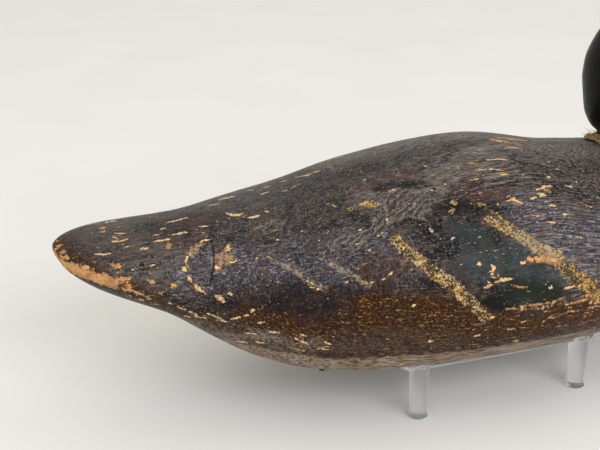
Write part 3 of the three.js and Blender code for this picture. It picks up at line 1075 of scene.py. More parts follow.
    def coat(
        self,
        coat: Coat,
        wobble: Socket,
        ragged: float,
        soft: float,
        top: float = 1.0,
        grow: float = 0.0,
    ) -> Socket:
        """Read a coat's marks from the mesh, with a ragged edge.

        Args:
            coat: The coat to read.
            wobble: Noise around one half that moves the edge.
            ragged: How far it moves the edge.
            soft: Half the width of the edge.
            top: The mask's greatest value.
            grow: How far the marks are spread.

        Returns:
            The mask.
        """
        tree = self.tree
        read = add_node(tree, "Attribute", out="Vector", attribute_name=coat.value)
        parts = add_node(tree, "SeparateXYZ", {0: read}, out=None)
        offset = add_node(tree, "Math", {0: parts.outputs[0]}, operation="ABSOLUTE")
        across = add_node(tree, "Math", {0: parts.outputs[2], 1: offset}, operation="SUBTRACT")
        inside = add_node(tree, "Math", {0: across, 1: parts.outputs[1]}, operation="MINIMUM")
        moved = add_node(tree, "Math", {0: wobble, 1: 2 * ragged, 2: inside}, operation="MULTIPLY_ADD")
        return self.patches(moved, ragged - grow - soft, ragged - grow + soft, top)


@dataclass(frozen=True)
class WeatheredPaint:
    """Old brush-laid oil paint on carved softwood, dark, crazed and rubbed through.

    It gives a dull satin black-brown with pale specks, open grain showing through, rubbed
    orange-brown wood low on the flanks, and sharp-edged chips down to cream primer.
    """

    black: str = "#080808"
    brown: str = "#15110f"
    khaki: str = "#66605a"
    lilac: str = "#5f5c68"
    haze_and_highlight: str = "#7d746e"
    amber: str = "#ad7a36"
    # Colours of the painted sheen: pale lavender strokes over a lavender base
    lavender: str = "#a09da1"
    bloom: str = "#4c4952"
    grey: str = "#948a7d"
    red: str = "#4f2c22"
    maroon: str = "#170d0e"
    rubbed: str = "#1c0f06"
    rust: str = "#422408"
    orange: str = "#8a5a1e"
    low_wood: str = "#8d745c"
    low_grain: str = "#3a2c22"
    green: str = "#2f3b3b"
    deep_green: str = "#141d10"
    flaked: str = "#83796f"
    flaked_groove: str = "#332a28"
    flaked_base: str = "#4c4440"
    flaked_rim: str = "#968b82"
    weathered: str = "#a8855f"
    weathered_dark: str = "#5c4b40"
    grazed: str = "#9e8a70"
    ochre: str = "#b8892f"
    ochre_pale: str = "#c8b084"
    ochre_thin: str = "#3c3022"
    bare: str = "#d3a26c"
    bare_grain: str = "#a3713e"
    cream: str = "#dab988"
    tan: str = "#ab7d50"
    chip_rim_shade: str = "#332012"
    crack: str = "#140b08"
    paint_thickness: float = 0.16
    grit_height: float = 0.07
    bar_height: float = 0.12
    primer_level: float = 0.02
    worn_level: float = 0.04
    rubbed_level: float = 0.03
    crack_depth: float = 0.4
    satin: float = 0.42
    rubbed_gloss: float = 0.6
    dull: float = 0.75
    specular: float = 0.12
    ior: float = 1.5
    bump: float = 0.9
    dust: float = 0.05

    def material(self) -> Material:
        """Make the paint's material.

        Returns:
            The material.
        """
        material, tree = new_material("weathered oil paint on wood")
        wood = WoodFields(tree)
        start = wood.mottled(wood.cloud(34.0, shift=5.0), 0.38, 0.62, self.black, self.brown)
        level = add_node(
            tree,
            "Math",
            {0: wood.streaks(9.0, 0.9), 1: 0.12, 2: self.paint_thickness},
            operation="MULTIPLY_ADD",
        )
        sheen = {0: wood.cloud(6.0), 1: 0.3, 2: 0.7, 3: self.satin - 0.06, 4: self.satin + 0.1}
        rough = add_node(tree, "MapRange", sheen)
        stack = PaintStack(tree, start, level, rough)
        self.lay_topcoat(stack, wood)
        self.lay_zones(stack, wood)
        self.lay_panels(stack, wood)
        self.lay_losses(stack, wood)
        stack.finish(self.specular, self.ior, self.bump, self.dust)
        return material

    def lay_topcoat(self, stack: PaintStack, wood: WoodFields) -> None:
        """Lay the grit, brush lines and crumbs that the dark coat has everywhere, the pale ones partly
        painted highlight.

        Args:
            stack: The coats so far.
            wood: The patterns to lay them by.
        """
        blots = wood.patches(wood.cloud(10.0, detail=5.0, rough=0.6, shift=11.0), 0.45, 0.62, 0.8)
        stack.cover(blots, self.brown)
        # Pale grit and haze lines: partly the paint's crazing and brush lines, partly painted highlight
        # standing in for the gloss
        tint = wood.mottled(wood.cloud(8.0, detail=4.0, shift=15.0), 0.44, 0.56, self.khaki, self.lilac)
        above = self.paint_thickness + self.grit_height
        grit = wood.patches(wood.cloud(1.05, rough=0.6, shift=3.0), 0.55, 0.63, 0.85)
        stack.cover(grit, tint, above)
        lines = wood.patches(wood.streaks(5.0, 0.8, detail=2.0, shift=27.0), 0.59, 0.65, 0.55)
        stack.cover(lines, self.haze_and_highlight, above)
        pits = wood.patches(wood.cloud(2.0, detail=4.0, rough=0.65, shift=23.0), 0.5, 0.58, 0.9)
        stack.cover(pits, self.black, self.paint_thickness - 0.02)
        crumbs = wood.patches(wood.cloud(1.2, detail=2.0, rough=0.6, shift=35.0), 0.68, 0.71, 0.8)
        stack.cover(crumbs, self.amber)

    def lay_zones(self, stack: PaintStack, wood: WoodFields) -> None:
        """Lay the soft zones of painted sheen, stain and wear, with a painted highlight along the
        ridge.

        Args:
            stack: The coats so far.
            wood: The patterns to lay them by.
        """
        above = self.paint_thickness + self.grit_height
        fine = wood.cloud(1.1, rough=0.65, shift=31.0)
        broad = wood.cloud(8.0, detail=6.0, rough=0.7, shift=41.0)
        streak = wood.streaks(9.0, 0.9, shift=7.0)
        brush = wood.streaks(4.0, 0.8, detail=2.0, shift=57.0)
        hatch = wood.streaks(0.75, 2.2, detail=2.0, rough=0.5)
        # Weathered grey paint, and along the ridge a painted highlight
        grey = wood.zone(Zone.GREY, broad, 2.0, 0.5)
        stack.cover(wood.patches(streak, 0.4, 0.58, 0.9, grey), self.grey, None, self.dull)
        # Painted sheen: a lavender base and pale lavender strokes that stand in for light reflected on
        # the flanks
        bloom = wood.zone(Zone.LAVENDER, broad, 2.5, 0.6)
        stack.cover(wood.patches(fine, 0.36, 0.6, 0.9, bloom), self.bloom, above)
        stack.cover(wood.patches(brush, 0.57, 0.64, 0.75, bloom), self.lavender, above)
        stack.cover(wood.patches(hatch, 0.59, 0.66, 0.5, bloom), self.lavender, above)
        stack.cover(wood.zone(Zone.MAROON, broad, 2.5, 0.4, 0.85), self.maroon)
        crazed = wood.zone(Zone.SPECKED, broad, 1.5, 0.5)
        stack.cover(wood.patches(hatch, 0.56, 0.63, 0.65, crazed), self.khaki, above)
        grain = wood.zone(Zone.GRAIN, broad, 2.0, 0.5)
        # Pale ring lines in the open grain: partly the grain, partly painted highlight
        stack.cover(wood.patches(wood.rings, 0.2, 0.9, 0.12, grain), self.haze_and_highlight, above)
        furrows = wood.streaks(20.0, 0.8, detail=2.0, shift=75.0)
        below = self.paint_thickness - 0.05
        stack.cover(wood.patches(furrows, 0.54, 0.6, 0.6, grain), self.black, below)
        lines = wood.streaks(18.0, 0.75, detail=2.0, shift=63.0)
        stack.cover(wood.patches(lines, 0.56, 0.61, 0.62, grain), self.grey, above)
        # Lavender strokes in the open grain: partly the grain's pale lines, partly painted sheen
        stack.cover(wood.patches(brush, 0.62, 0.66, 0.5, grain), self.lavender, above)
        red = wood.zone(Zone.RED, broad, 2.5, 0.3)
        stack.cover(wood.patches(streak, 0.44, 0.56, 0.8, red), self.red, None, self.dull)
        worn = wood.zone(Zone.WORN, broad, 2.6, 0.6)
        tint = wood.mottled(fine, 0.4, 0.62, self.rubbed, self.rust)
        stack.cover(worn, tint, 0.08, self.rubbed_gloss)
        stack.cover(wood.patches(hatch, 0.58, 0.68, 0.8, worn), self.rust, 0.05)
        oiled = self.rubbed_level, self.rubbed_gloss
        stack.cover(wood.patches(fine, 0.55, 0.68, 0.75, worn), self.orange, *oiled)
        stack.cover(wood.patches(streak, 0.6, 0.68, 0.7, worn), self.amber, *oiled)
        low = wood.zone(Zone.LOW, streak, 2.0, 0.25)
        stack.cover(low, wood.mottled(broad, 0.4, 0.6, self.low_wood, self.grey), 0.0, self.dull)
        lines = wood.streaks(16.0, 1.0, shift=17.0)
        stack.cover(wood.patches(lines, 0.47, 0.6, 0.9, low), self.low_grain, 0.02)

    def lay_panels(self, stack: PaintStack, wood: WoodFields) -> None:
        """Lay the green panel, the blacks and the ochre bars.

        Args:
            stack: The coats so far.
            wood: The patterns to lay them by.
        """
        edge = wood.cloud(2.4, detail=4.0, rough=0.65, shift=61.0)
        soft_edge = wood.cloud(8.0, detail=6.0, rough=0.7, shift=67.0)
        fleck = wood.cloud(1.0, rough=0.65, shift=79.0)
        green = wood.coat(Coat.GREEN, soft_edge, 14.0, 4.0, 0.7)
        broad = wood.cloud(16.0, shift=71.0)
        stack.cover(green, wood.mottled(broad, 0.46, 0.66, self.green, self.deep_green))
        stack.cover(wood.coat(Coat.BLACK, soft_edge, 10.0, 2.5, 0.9), self.black)
        specks = wood.patches(fleck, 0.58, 0.68, 0.4, green)
        stack.cover(specks, self.khaki, self.paint_thickness + self.grit_height)
        stack.cover(wood.coat(Coat.DEEP, soft_edge, 8.0, 2.5, 0.85), self.deep_green)
        bar = wood.coat(Coat.OCHRE, edge, 2.5, 0.3)
        thin = wood.patches(fleck, 0.3, 0.46, 0.85, bar)
        stack.cover(thin, self.ochre_thin, self.paint_thickness + 0.05, self.rubbed_gloss)
        thick = self.paint_thickness + self.bar_height, self.rubbed_gloss
        patchy = wood.cloud(5.0, detail=2.0, shift=85.0)
        covered = add_node(stack.tree, "Math", {0: patchy, 1: 0.5, 2: fleck}, operation="MULTIPLY_ADD")
        tint = wood.mottled(wood.cloud(1.8, shift=83.0), 0.43, 0.57, self.ochre, self.ochre_pale)
        stack.cover(wood.patches(covered, 0.72, 0.82, 0.9, bar), tint, *thick)
        full = wood.coat(Coat.STRONG, edge, 2.5, 0.3)
        rich = wood.mottled(wood.cloud(1.4, shift=87.0), 0.56, 0.68, self.ochre, self.ochre_pale)
        stack.cover(wood.patches(covered, 0.74, 0.86, 0.9, full), rich, *thick)

    def lay_losses(self, stack: PaintStack, wood: WoodFields) -> None:
        """Lay the flaked patches, bare wood, chips and the crack.

        Args:
            stack: The coats so far.
            wood: The patterns to lay them by.
        """
        edge = wood.cloud(1.8, detail=4.0, rough=0.7, shift=89.0)
        lobes = wood.cloud(5.0, detail=5.0, rough=0.6, shift=97.0)
        fine = wood.cloud(1.5, rough=0.65, shift=93.0)
        lines = wood.streaks(6.0, 1.0, shift=101.0)
        stack.cover(wood.coat(Coat.FLAKED, lobes, 5.0, 0.25, 0.6, grow=0.45), self.flaked_rim, 0.2)
        flaked = wood.coat(Coat.FLAKED, lobes, 5.0, 0.3)
        ridge = wood.wavy_bands(2.7, 4.0, 6.0)
        worn = self.worn_level, self.dull
        stack.cover(flaked, wood.mottled(ridge, 0.05, 0.3, self.flaked_groove, self.flaked_base), *worn)
        stack.cover(wood.patches(fine, 0.54, 0.66, 0.5, flaked), self.flaked, 0.08)
        worn_ridge = wood.patches(lobes, 0.36, 0.56, 0.85, flaked)
        stack.cover(wood.patches(ridge, 0.84, 0.97, 1.0, worn_ridge), self.flaked, 0.14)
        weathered = wood.coat(Coat.WEATHERED, edge, 3.4, 0.25, 0.9)
        tint = wood.mottled(fine, 0.46, 0.58, self.weathered, self.weathered_dark)
        stack.cover(weathered, tint, *worn)
        grazed = wood.coat(Coat.GRAZED, edge, 2.0, 0.5)
        stack.cover(wood.patches(fine, 0.42, 0.56, 0.78, grazed), self.grazed, 0.1, self.dull)
        bare = wood.coat(Coat.BARE, edge, 3.2, 0.2)
        # Dark rim round each bare patch and chip: partly the paint's broken edge, partly painted shade
        # along the sunk edge
        stack.cover(wood.coat(Coat.BARE, edge, 3.2, 0.2, 0.8, grow=0.35), self.chip_rim_shade)
        stack.cover(bare, wood.mottled(lobes, 0.42, 0.58, self.bare, self.tan), 0.0, self.dull)
        stack.cover(wood.patches(lines, 0.5, 0.62, 0.75, bare), self.bare_grain, -0.02)
        stack.cover(wood.coat(Coat.CREAM, edge, 2.0, 0.15, 0.8, grow=0.4), self.chip_rim_shade)
        cream = wood.coat(Coat.CREAM, edge, 2.0, 0.1, grow=0.05)
        primer = self.primer_level, self.dull
        stack.cover(cream, wood.mottled(fine, 0.5, 0.6, self.cream, self.tan), *primer)
        crumbs = wood.patches(wood.streaks(2.2, 1.0, detail=2.0, shift=107.0), 0.69, 0.72, 0.9)
        stack.cover(crumbs, self.cream, *primer)
        crack = wood.coat(Coat.CRACK, edge, 0.4, 0.12, 0.95)
        stack.cover(crack, self.crack, -self.crack_depth, 0.9)


@dataclass
class CarvedBody:
    """The body: one carved block, round on top with a flat underside, and its paint."""

    length: float = 352.0
    back: Pairs = (
        (0, 64), (45, 68.5), (100, 70.5), (160, 86), (220, 92), (262, 85.5), (300, 82), (326, 81),
        (341, 75), (352, 52),
    )
    keel: Pairs = (
        (0, 64), (45, 32), (90, 5.5), (118, 0), (296, 0), (318, 5), (336, 18), (347, 34), (352, 52),
    )
    half_width: Pairs = (
        (0, 0), (25, 31), (60, 36), (110, 59.5), (160, 70), (215, 77.5), (265, 72.5), (310, 60),
        (337, 42), (352, 0),
    )
    widest: Pairs = (
        (0, 64), (45, 57.5), (100, 53.5), (160, 45), (215, 45), (270, 45), (320, 49), (352, 52),
    )
    flat: Pairs = (
        (0, 0), (70, 17), (110, 34), (150, 48), (200, 50), (255, 48), (300, 32), (330, 10), (352, 0),
    )
    crest: Pairs = ((0, 2), (120, 2), (200, 1.8), (262, 1.4), (300, 1.35), (330, 1.7), (352, 2))
    rings: int = 400
    half_ring: int = 120
    section_points: int = 90
    seat_level: float = 77.5
    seat_gap: float = 0.3
    tool_marks: Pairs = ((30.0, 0.3), (9.0, 0.1))
    tool_seed: float = 88.0
    flat_margin: float = 0.4
    flake_depth: float = 0.3
    flake_slope: float = 1.5
    pixel_step: float = 5.0

    def __post_init__(self) -> None:
        """Make the outline curves."""
        ease = both_ends_round(self.length)
        self.back_at, self.keel_at = Curve(self.back, ease), Curve(self.keel, ease)
        self.half_at, self.widest_at = Curve(self.half_width, ease), Curve(self.widest, ease)
        self.flat_at, self.crest_at = Curve(self.flat, ease), Curve(self.crest, ease)

    def half_section(self, station: float) -> Array:
        """Trace half a cross-section from the ridge round the side to the keel.

        Args:
            station: Where the section is cut.

        Returns:
            Girth, sideways distance and level of closely spaced points.
        """
        half = float(self.half_at(station))
        flat = min(float(self.flat_at(station)), half)
        widest, keel = float(self.widest_at(station)), float(self.keel_at(station))
        rise, drop = float(self.back_at(station)) - widest, widest - keel
        turn = np.linspace(0.0, pi / 2, self.section_points)
        power = 2 / float(self.crest_at(station))
        upper = np.stack([half * np.sin(turn) ** power, widest + rise * np.cos(turn)], 1)
        lower = np.stack([flat + (half - flat) * np.cos(turn), widest - drop * np.sin(turn)], 1)
        under = np.array([[0.0, keel]])
        path = np.concatenate([upper, lower[1:], under])
        girth = np.concatenate([[0.0], np.cumsum(np.linalg.norm(np.diff(path, axis=0), axis=1))])
        return np.column_stack([girth, path])

    def surface_point(self, station: float, girth: float) -> Array:
        """Find a point of the smooth surface.

        Args:
            station: Its station.
            girth: How far it lies round from the ridge, positive on the near side.

        Returns:
            The point in the part's frame.
        """
        section = self.half_section(station)
        side = np.interp(abs(girth), section[:, 0], section[:, 1])
        level = np.interp(abs(girth), section[:, 0], section[:, 2])
        return np.array([station + TAIL_X, -np.sign(girth) * side, level + UNDERSIDE_Z])

    def top(self, station: Array, sideways: Array) -> Array:
        """Read the level of the upper surface.

        Args:
            station: One station or many.
            sideways: How far to the side of each.

        Returns:
            The levels.
        """
        widest = self.widest_at(station)
        part = np.minimum(np.abs(sideways) / self.half_at(station), 1.0)
        return widest + (self.back_at(station) - widest) * np.sqrt(1 - part ** self.crest_at(station))

    def build(self, neck: "CarvedHead") -> Piece:
        """Build the body's mesh with its tool marks and the seat for the neck.

        Args:
            neck: The head whose neck sits in the seat.

        Returns:
            The body.
        """
        count = 2 * self.half_ring
        share = np.linspace(0.0, 1.0, self.half_ring + 1)
        stations = self.length * (1 - np.cos(pi * np.arange(1, self.rings) / self.rings)) / 2
        rings = []
        for station in stations:
            section = self.half_section(station)
            girth = share * section[-1, 0]
            side = np.interp(girth, section[:, 0], section[:, 1])
            level = np.interp(girth, section[:, 0], section[:, 2])
            sides = np.concatenate([-side, side[-2:0:-1]])
            levels = np.concatenate([level, level[-2:0:-1]])
            rings.append(np.column_stack([np.full(count, station), sides, levels]))
        tail = np.array([0.0, 0.0, self.back[0][1]])
        breast = np.array([self.length, 0.0, self.back[-1][1]])
        points, faces = loft(rings, tail, breast)
        in_seat = neck.covers(points, self.seat_gap)
        points[in_seat, 2] = np.minimum(points[in_seat, 2], self.seat_level)
        points += ORIGIN
        body = make_piece("carved_body", points, faces)
        self.cut_tool_marks(body, in_seat)
        return body

    def cut_tool_marks(self, body: Piece, in_seat: Array) -> None:
        """Move the surface in by the shallow unevenness that a spokeshave leaves.

        Args:
            body: The body.
            in_seat: Which points lie in the neck's seat and stay.
        """
        points, normals = read_mesh(body)
        cut = np.zeros(len(points))
        for size, depth in self.tool_marks:
            cut += depth * (wander(points, size, self.tool_seed) - 1.0) / 2
        flat = points[:, 2] < UNDERSIDE_Z + self.flat_margin
        cut[in_seat | flat] = 0.0
        write_points(body, points + normals * cut[:, None])

    def find_ribbons(self, body: Piece, view: Viewpoint) -> dict[Coat | Zone, list[Ribbon]]:
        """Find every mark on the surface.

        Args:
            body: The body.
            view: The camera that the marks are seen through.

        Returns:
            The strokes of each coat and zone.
        """
        tree = BVHTree.FromObject(body, bpy.context.evaluated_depsgraph_get())
        eye = view.place() * MM
        found: dict[Coat | Zone, list[Ribbon]] = {kind: [] for kind in (*Coat, *Zone)}
        for mark in (*NEAR_MARKS, *CHIP_MARKS, *PAIRED_MARKS):
            pointed = mark in CHIP_MARKS
            hands = (1.0, -1.0) if mark in PAIRED_MARKS else (1.0,)
            for line in mark.lines:
                pixels = fill_line(line, self.pixel_step)
                hits = [tree.ray_cast(eye, view.ray(pixel))[0] for pixel in pixels]
                landed = [hit for hit in hits if hit is not None]
                if len(landed) < 2:
                    log.warning("%s misses the body at %s", mark.name, line[:2])
                    continue
                for hand in hands:
                    path = np.array(landed) / MM * (1.0, hand, 1.0)
                    ribbon = Ribbon(path, mark.half_width, pointed, mark.strength, mark.fade)
                    found[mark.kind].append(ribbon)
        for number, sprinkle in enumerate(SPRINKLES):
            found[sprinkle.kind].extend(self.scatter(sprinkle, SEED + number))
        return found

    def scatter(self, sprinkle: Sprinkle, seed: int) -> list[Ribbon]:
        """Scatter small losses over a part of the surface.

        Args:
            sprinkle: How many, where and how large.
            seed: The seed of the random draw.

        Returns:
            The strokes.
        """
        draw = np.random.default_rng(seed)
        made = []
        for _ in range(sprinkle.count):
            station = draw.uniform(*sprinkle.stations)
            girth = draw.uniform(*sprinkle.girths)
            length = draw.uniform(*sprinkle.lengths)
            tilt = draw.normal(0.0, sprinkle.tilt)
            width = draw.uniform(*sprinkle.half_widths)
            runs = [length * share for share in (-0.5, 0.0, 0.5)]
            path = [self.surface_point(station + run, girth + run * tilt) for run in runs]
            made.append(Ribbon(np.array(path), width, True))
        return made

    def map_paint(self, body: Piece, view: Viewpoint) -> None:
        """Write every coat and zone to the mesh, and let the flaked places in a little.

        Args:
            body: The body.
            view: The camera that the marks are seen through.
        """
        ribbons = self.find_ribbons(body, view)
        points, normals = read_mesh(body)
        sunk = np.zeros(len(points))
        for kind, strokes in ribbons.items():
            if isinstance(kind, Coat):
                found = map_ribbons(points, normals, strokes)
                write_values(body, kind.value, found)
                if kind in (Coat.FLAKED, Coat.BARE):
                    inside = np.minimum(found[:, 2] - np.abs(found[:, 0]), found[:, 1])
                    sunk = np.maximum(sunk, smooth_step(inside / self.flake_slope + 0.5))
            else:
                write_values(body, kind.value, map_zone(points, strokes))
            log.info("%s: %d strokes", kind.value, len(strokes))
        write_points(body, points - normals * (sunk * self.flake_depth)[:, None])


@dataclass(frozen=True)
class HeadPaint:
    """Smooth satin paint on the head, black with a trace of green, and a worn olive bill.

    It gives a deeper, closer black than the body's, with grey rubbed ridges and a few
    reddish specks where the ground shows.
    """

    black: str = "#060508"
    green: str = "#0b0f0c"
    rubbed: str = "#5b5046"
    speck: str = "#6b3a26"
    bill: str = "#6f6038"
    bill_dark: str = "#332d20"
    bill_worn: str = "#a98352"
    paint_thickness: float = 0.14
    satin: float = 0.32
    rubbed_gloss: float = 0.6
    specular: float = 0.08
    ior: float = 1.5
    bump: float = 0.7
    dust: float = 0.04

    def material(self) -> Material:
        """Make the head's material.

        Returns:
            The material.
        """
        material, tree = new_material("satin black and olive oil paint")
        wood = WoodFields(tree)
        start = wood.mottled(wood.cloud(16.0), 0.4, 0.62, self.black, self.green)
        level = add_node(
            tree,
            "Math",
            {0: wood.cloud(1.4), 1: 0.07, 2: self.paint_thickness},
            operation="MULTIPLY_ADD",
        )
        sheen = {0: wood.cloud(5.0), 1: 0.3, 2: 0.7, 3: self.satin - 0.05, 4: self.satin + 0.1}
        rough = add_node(tree, "MapRange", sheen)
        stack = PaintStack(tree, start, level, rough)
        specks = wood.patches(wood.cloud(1.4, detail=2.0, shift=19.0), 0.68, 0.72, 0.8)
        stack.cover(specks, self.speck)
        dust = wood.patches(wood.cloud(1.3, shift=29.0), 0.55, 0.7, 0.12)
        stack.cover(dust, self.rubbed, self.paint_thickness + 0.05)
        self.lay_bill(stack, wood)
        wear = add_node(tree, "Attribute", out="Fac", attribute_name=CarvedHead.WEAR)
        ragged = wood.cloud(2.4, detail=4.0, rough=0.65, shift=37.0)
        eaten = add_node(tree, "Math", {0: wear, 1: ragged}, operation="ADD")
        stack.cover(wood.patches(eaten, 0.98, 1.2, 0.75), self.rubbed, 0.06, self.rubbed_gloss)
        stack.finish(self.specular, self.ior, self.bump, self.dust)
        return material

    def lay_bill(self, stack: PaintStack, wood: WoodFields) -> None:
        """Lay the bill's olive, with its darker top and its chips.

        Args:
            stack: The coats so far.
            wood: The patterns to lay them by.
        """
        edge = add_node(stack.tree, "Attribute", out="Fac", attribute_name=CarvedHead.BILL)
        ragged = {0: wood.cloud(3.0, shift=43.0), 1: 1.6, 2: edge}
        moved = add_node(stack.tree, "Math", ragged, operation="MULTIPLY_ADD")
        bill = wood.patches(moved, 0.65, 0.95)
        stack.cover(bill, self.bill)
        dirt = wood.cloud(5.0, detail=5.0, rough=0.65, shift=47.0)
        stack.cover(wood.patches(dirt, 0.42, 0.62, 0.8, bill), self.bill_dark)
        chips = wood.patches(wood.streaks(5.0, 1.6, shift=51.0), 0.64, 0.66, 0.9, bill)
        stack.cover(chips, self.bill_worn, 0.03, self.rubbed_gloss)


@dataclass
class CarvedHead:
    """Neck, head and bill, one carved block."""

    BILL = "bill_edge"
    WEAR = "edge_wear"

    seat: float = 77.5
    gap: float = 0.3
    crown: float = 152.5
    rear: Pairs = (
        (77.5, 291), (85, 290), (91, 284), (99, 280.2), (112, 279.3), (122, 279.8), (132, 282.2),
        (141, 286.2), (148, 292.5), (152.5, 305),
    )
    front: Pairs = (
        (77.5, 340), (85, 337.5), (93, 333.5), (101, 332.5), (110, 336), (120, 339), (130, 338),
        (140, 331), (148, 319.5), (152.5, 305),
    )
    half_width: Pairs = (
        (77.5, 24), (85, 23), (93, 21.5), (104, 22.5), (116, 25.5), (126, 25), (136, 21.5),
        (144, 16), (150, 9), (152.5, 0),
    )
    roundness: float = 2.2
    taper: float = 0.16
    taper_levels: Pair = (95.0, 120.0)
    bill_root: float = 318.0
    bill_tip: float = 392.0
    bill_top: Pairs = ((318, 136), (336, 130), (350, 123.5), (366, 118.5), (380, 116), (392, 111))
    bill_under: Pairs = ((318, 107), (336, 105.5), (350, 105), (366, 105), (380, 106), (392, 111))
    bill_half: Pairs = ((318, 15), (338, 13.5), (354, 13), (372, 15), (384, 13.5), (392, 0))
    bill_roundness: float = 2.4
    rings: int = 90
    facets: int = 120
    voxel: float = 0.62
    blend_rounds: int = 14
    blend_strength: float = 0.5
    eye_station: float = 319.0
    eye_level: float = 131.0
    eye_side: float = 17.8
    eye_radius: float = 5.0
    # Raised lid and hollow cheek round the eye: how deep, how far out and how wide
    eye_rings: tuple[Triple, ...] = ((-0.5, 6.6, 1.1), (0.9, 9.5, 3.0))
    mouth: Pairs = ((330, 114.5), (345, 112), (360, 110.5), (375, 110), (390, 110.5))
    mouth_depth: float = 0.8
    mouth_width: float = 0.9
    # Where each detail starts and over how far it grows, along the bill or out to the side
    mouth_along: Pair = (332.0, 3.0)
    mouth_out: Pair = (3.0, 3.0)
    nostril_out: Pair = (4.0, 2.0)
    feather_out: Pair = (2.0, 9.0)
    nostril: Pair = (346.0, 119.5)
    nostril_size: Pair = (4.2, 1.4)
    nostril_depth: float = 1.3
    nostril_slope: float = 0.25
    feather_line: Pair = (333.5, 118.0)
    feather_bow: float = 0.028
    feather_sweep: float = 5.0
    feather_depth: float = 0.55
    feather_width: float = 0.9
    tool_mark: Pair = (11.0, 0.22)
    tool_seed: float = 5.0
    plain_foot: float = 1.5
    wear_rounds: int = 12
    wear_bend: float = 0.03
    wear_top: float = 0.6

    def __post_init__(self) -> None:
        """Make the outline curves."""
        head_ease = far_end_round(self.seat, self.crown)
        bill_ease = far_end_round(self.bill_root, self.bill_tip)
        self.rear_at = Curve(self.rear, head_ease)
        self.front_at = Curve(self.front, head_ease)
        self.half_at = Curve(self.half_width, head_ease)
        self.top_at = Curve(self.bill_top, bill_ease)
        self.under_at = Curve(self.bill_under, bill_ease)
        self.bill_half_at = Curve(self.bill_half, bill_ease)
        self.mouth_at = Curve(self.mouth, lambda position: position)

    def outline(self, level: float | Array, angle: Array, push: float | Array = 0.0) -> Array:
        """Find points of the neck or head at a level.

        Args:
            level: The level, or one for each angle.
            angle: Angles from straight ahead.
            push: How far to move them out.

        Returns:
            Stations, sideways distances and levels.
        """
        rear, front = self.rear_at(level), self.front_at(level)
        power = 2 / self.roundness
        along = (front - rear) / 2 + push
        across = self.half_at(level) + push
        station = (rear + front) / 2 + along * signed_power(np.cos(angle), power)
        low, high = self.taper_levels
        taper = self.taper * smooth_step(np.asarray(level, float), low, high - low)
        side = across * (1 - taper * np.cos(angle)) * signed_power(np.sin(angle), power)
        return np.column_stack([station, side, np.broadcast_to(level, station.shape)])

    def covers(self, points: Array, push: float) -> Array:
        """Tell which points lie inside the neck's outline.

        Args:
            points: Points in stations and levels.
            push: How far the outline is moved out.

        Returns:
            True or false for each.
        """
        level = np.clip(points[:, 2], self.seat, self.crown)
        rear, front = self.rear_at(level), self.front_at(level)
        along = np.abs(points[:, 0] - (rear + front) / 2) / ((front - rear) / 2 + push)
        across = np.abs(points[:, 1]) / (self.half_at(level) + push)
        return (along**self.roundness + across**self.roundness < 1) & (points[:, 2] > self.seat)

    def build(self) -> Piece:
        """Build the head with its bill blended on and its details carved.

        Returns:
            The head.
        """
        turn = full_turn(self.facets)
        base = self.seat + self.gap
        levels = base + (self.crown - base) * np.sin(np.arange(self.rings) / self.rings * pi / 2)
        head = [self.outline(level, turn) for level in levels]
        points, faces = loft(head, end=np.array([self.rear[-1][1], 0.0, self.crown]))
        bill_points, bill_faces = self.bill_rings(turn)
        faces += [tuple(k + len(points) for k in face) for face in bill_faces]
        points = np.concatenate([points, bill_points]) + ORIGIN
        piece = make_piece("carved_head", points, faces)
        remesh = piece.modifiers.new("blend", "REMESH")
        remesh.mode = "VOXEL"
        remesh.voxel_size = self.voxel * MM
        soften = piece.modifiers.new("soften", "SMOOTH")
        soften.factor = self.blend_strength
        soften.iterations = self.blend_rounds
        apply_modifiers(piece)
        self.carve(piece)
        return piece

    def bill_rings(self, turn: Array) -> tuple[Array, Faces]:
        """Loft the bill from its root inside the head to its round tip.

        Args:
            turn: Angles round the bill.

        Returns:
            Its points and faces.
        """
        power = 2 / self.bill_roundness
        rings = []
        for k in range(self.rings):
            station = self.bill_root + (self.bill_tip - self.bill_root) * sin(k / self.rings * pi / 2)
            top, under = float(self.top_at(station)), float(self.under_at(station))
            side = self.bill_half_at(station) * signed_power(np.cos(turn), power)
            level = (top + under) / 2 + (top - under) / 2 * signed_power(np.sin(turn), power)
            rings.append(np.column_stack([np.full(len(turn), station), side, level]))
        return loft(rings, end=np.array([self.bill_tip, 0.0, self.bill_top[-1][1]]))

    def eye_middle(self, hand: float) -> Array:
        """Return the middle of the eye on the left (1) or the right (-1)."""
        return np.array([self.eye_station, hand * self.eye_side, self.eye_level])

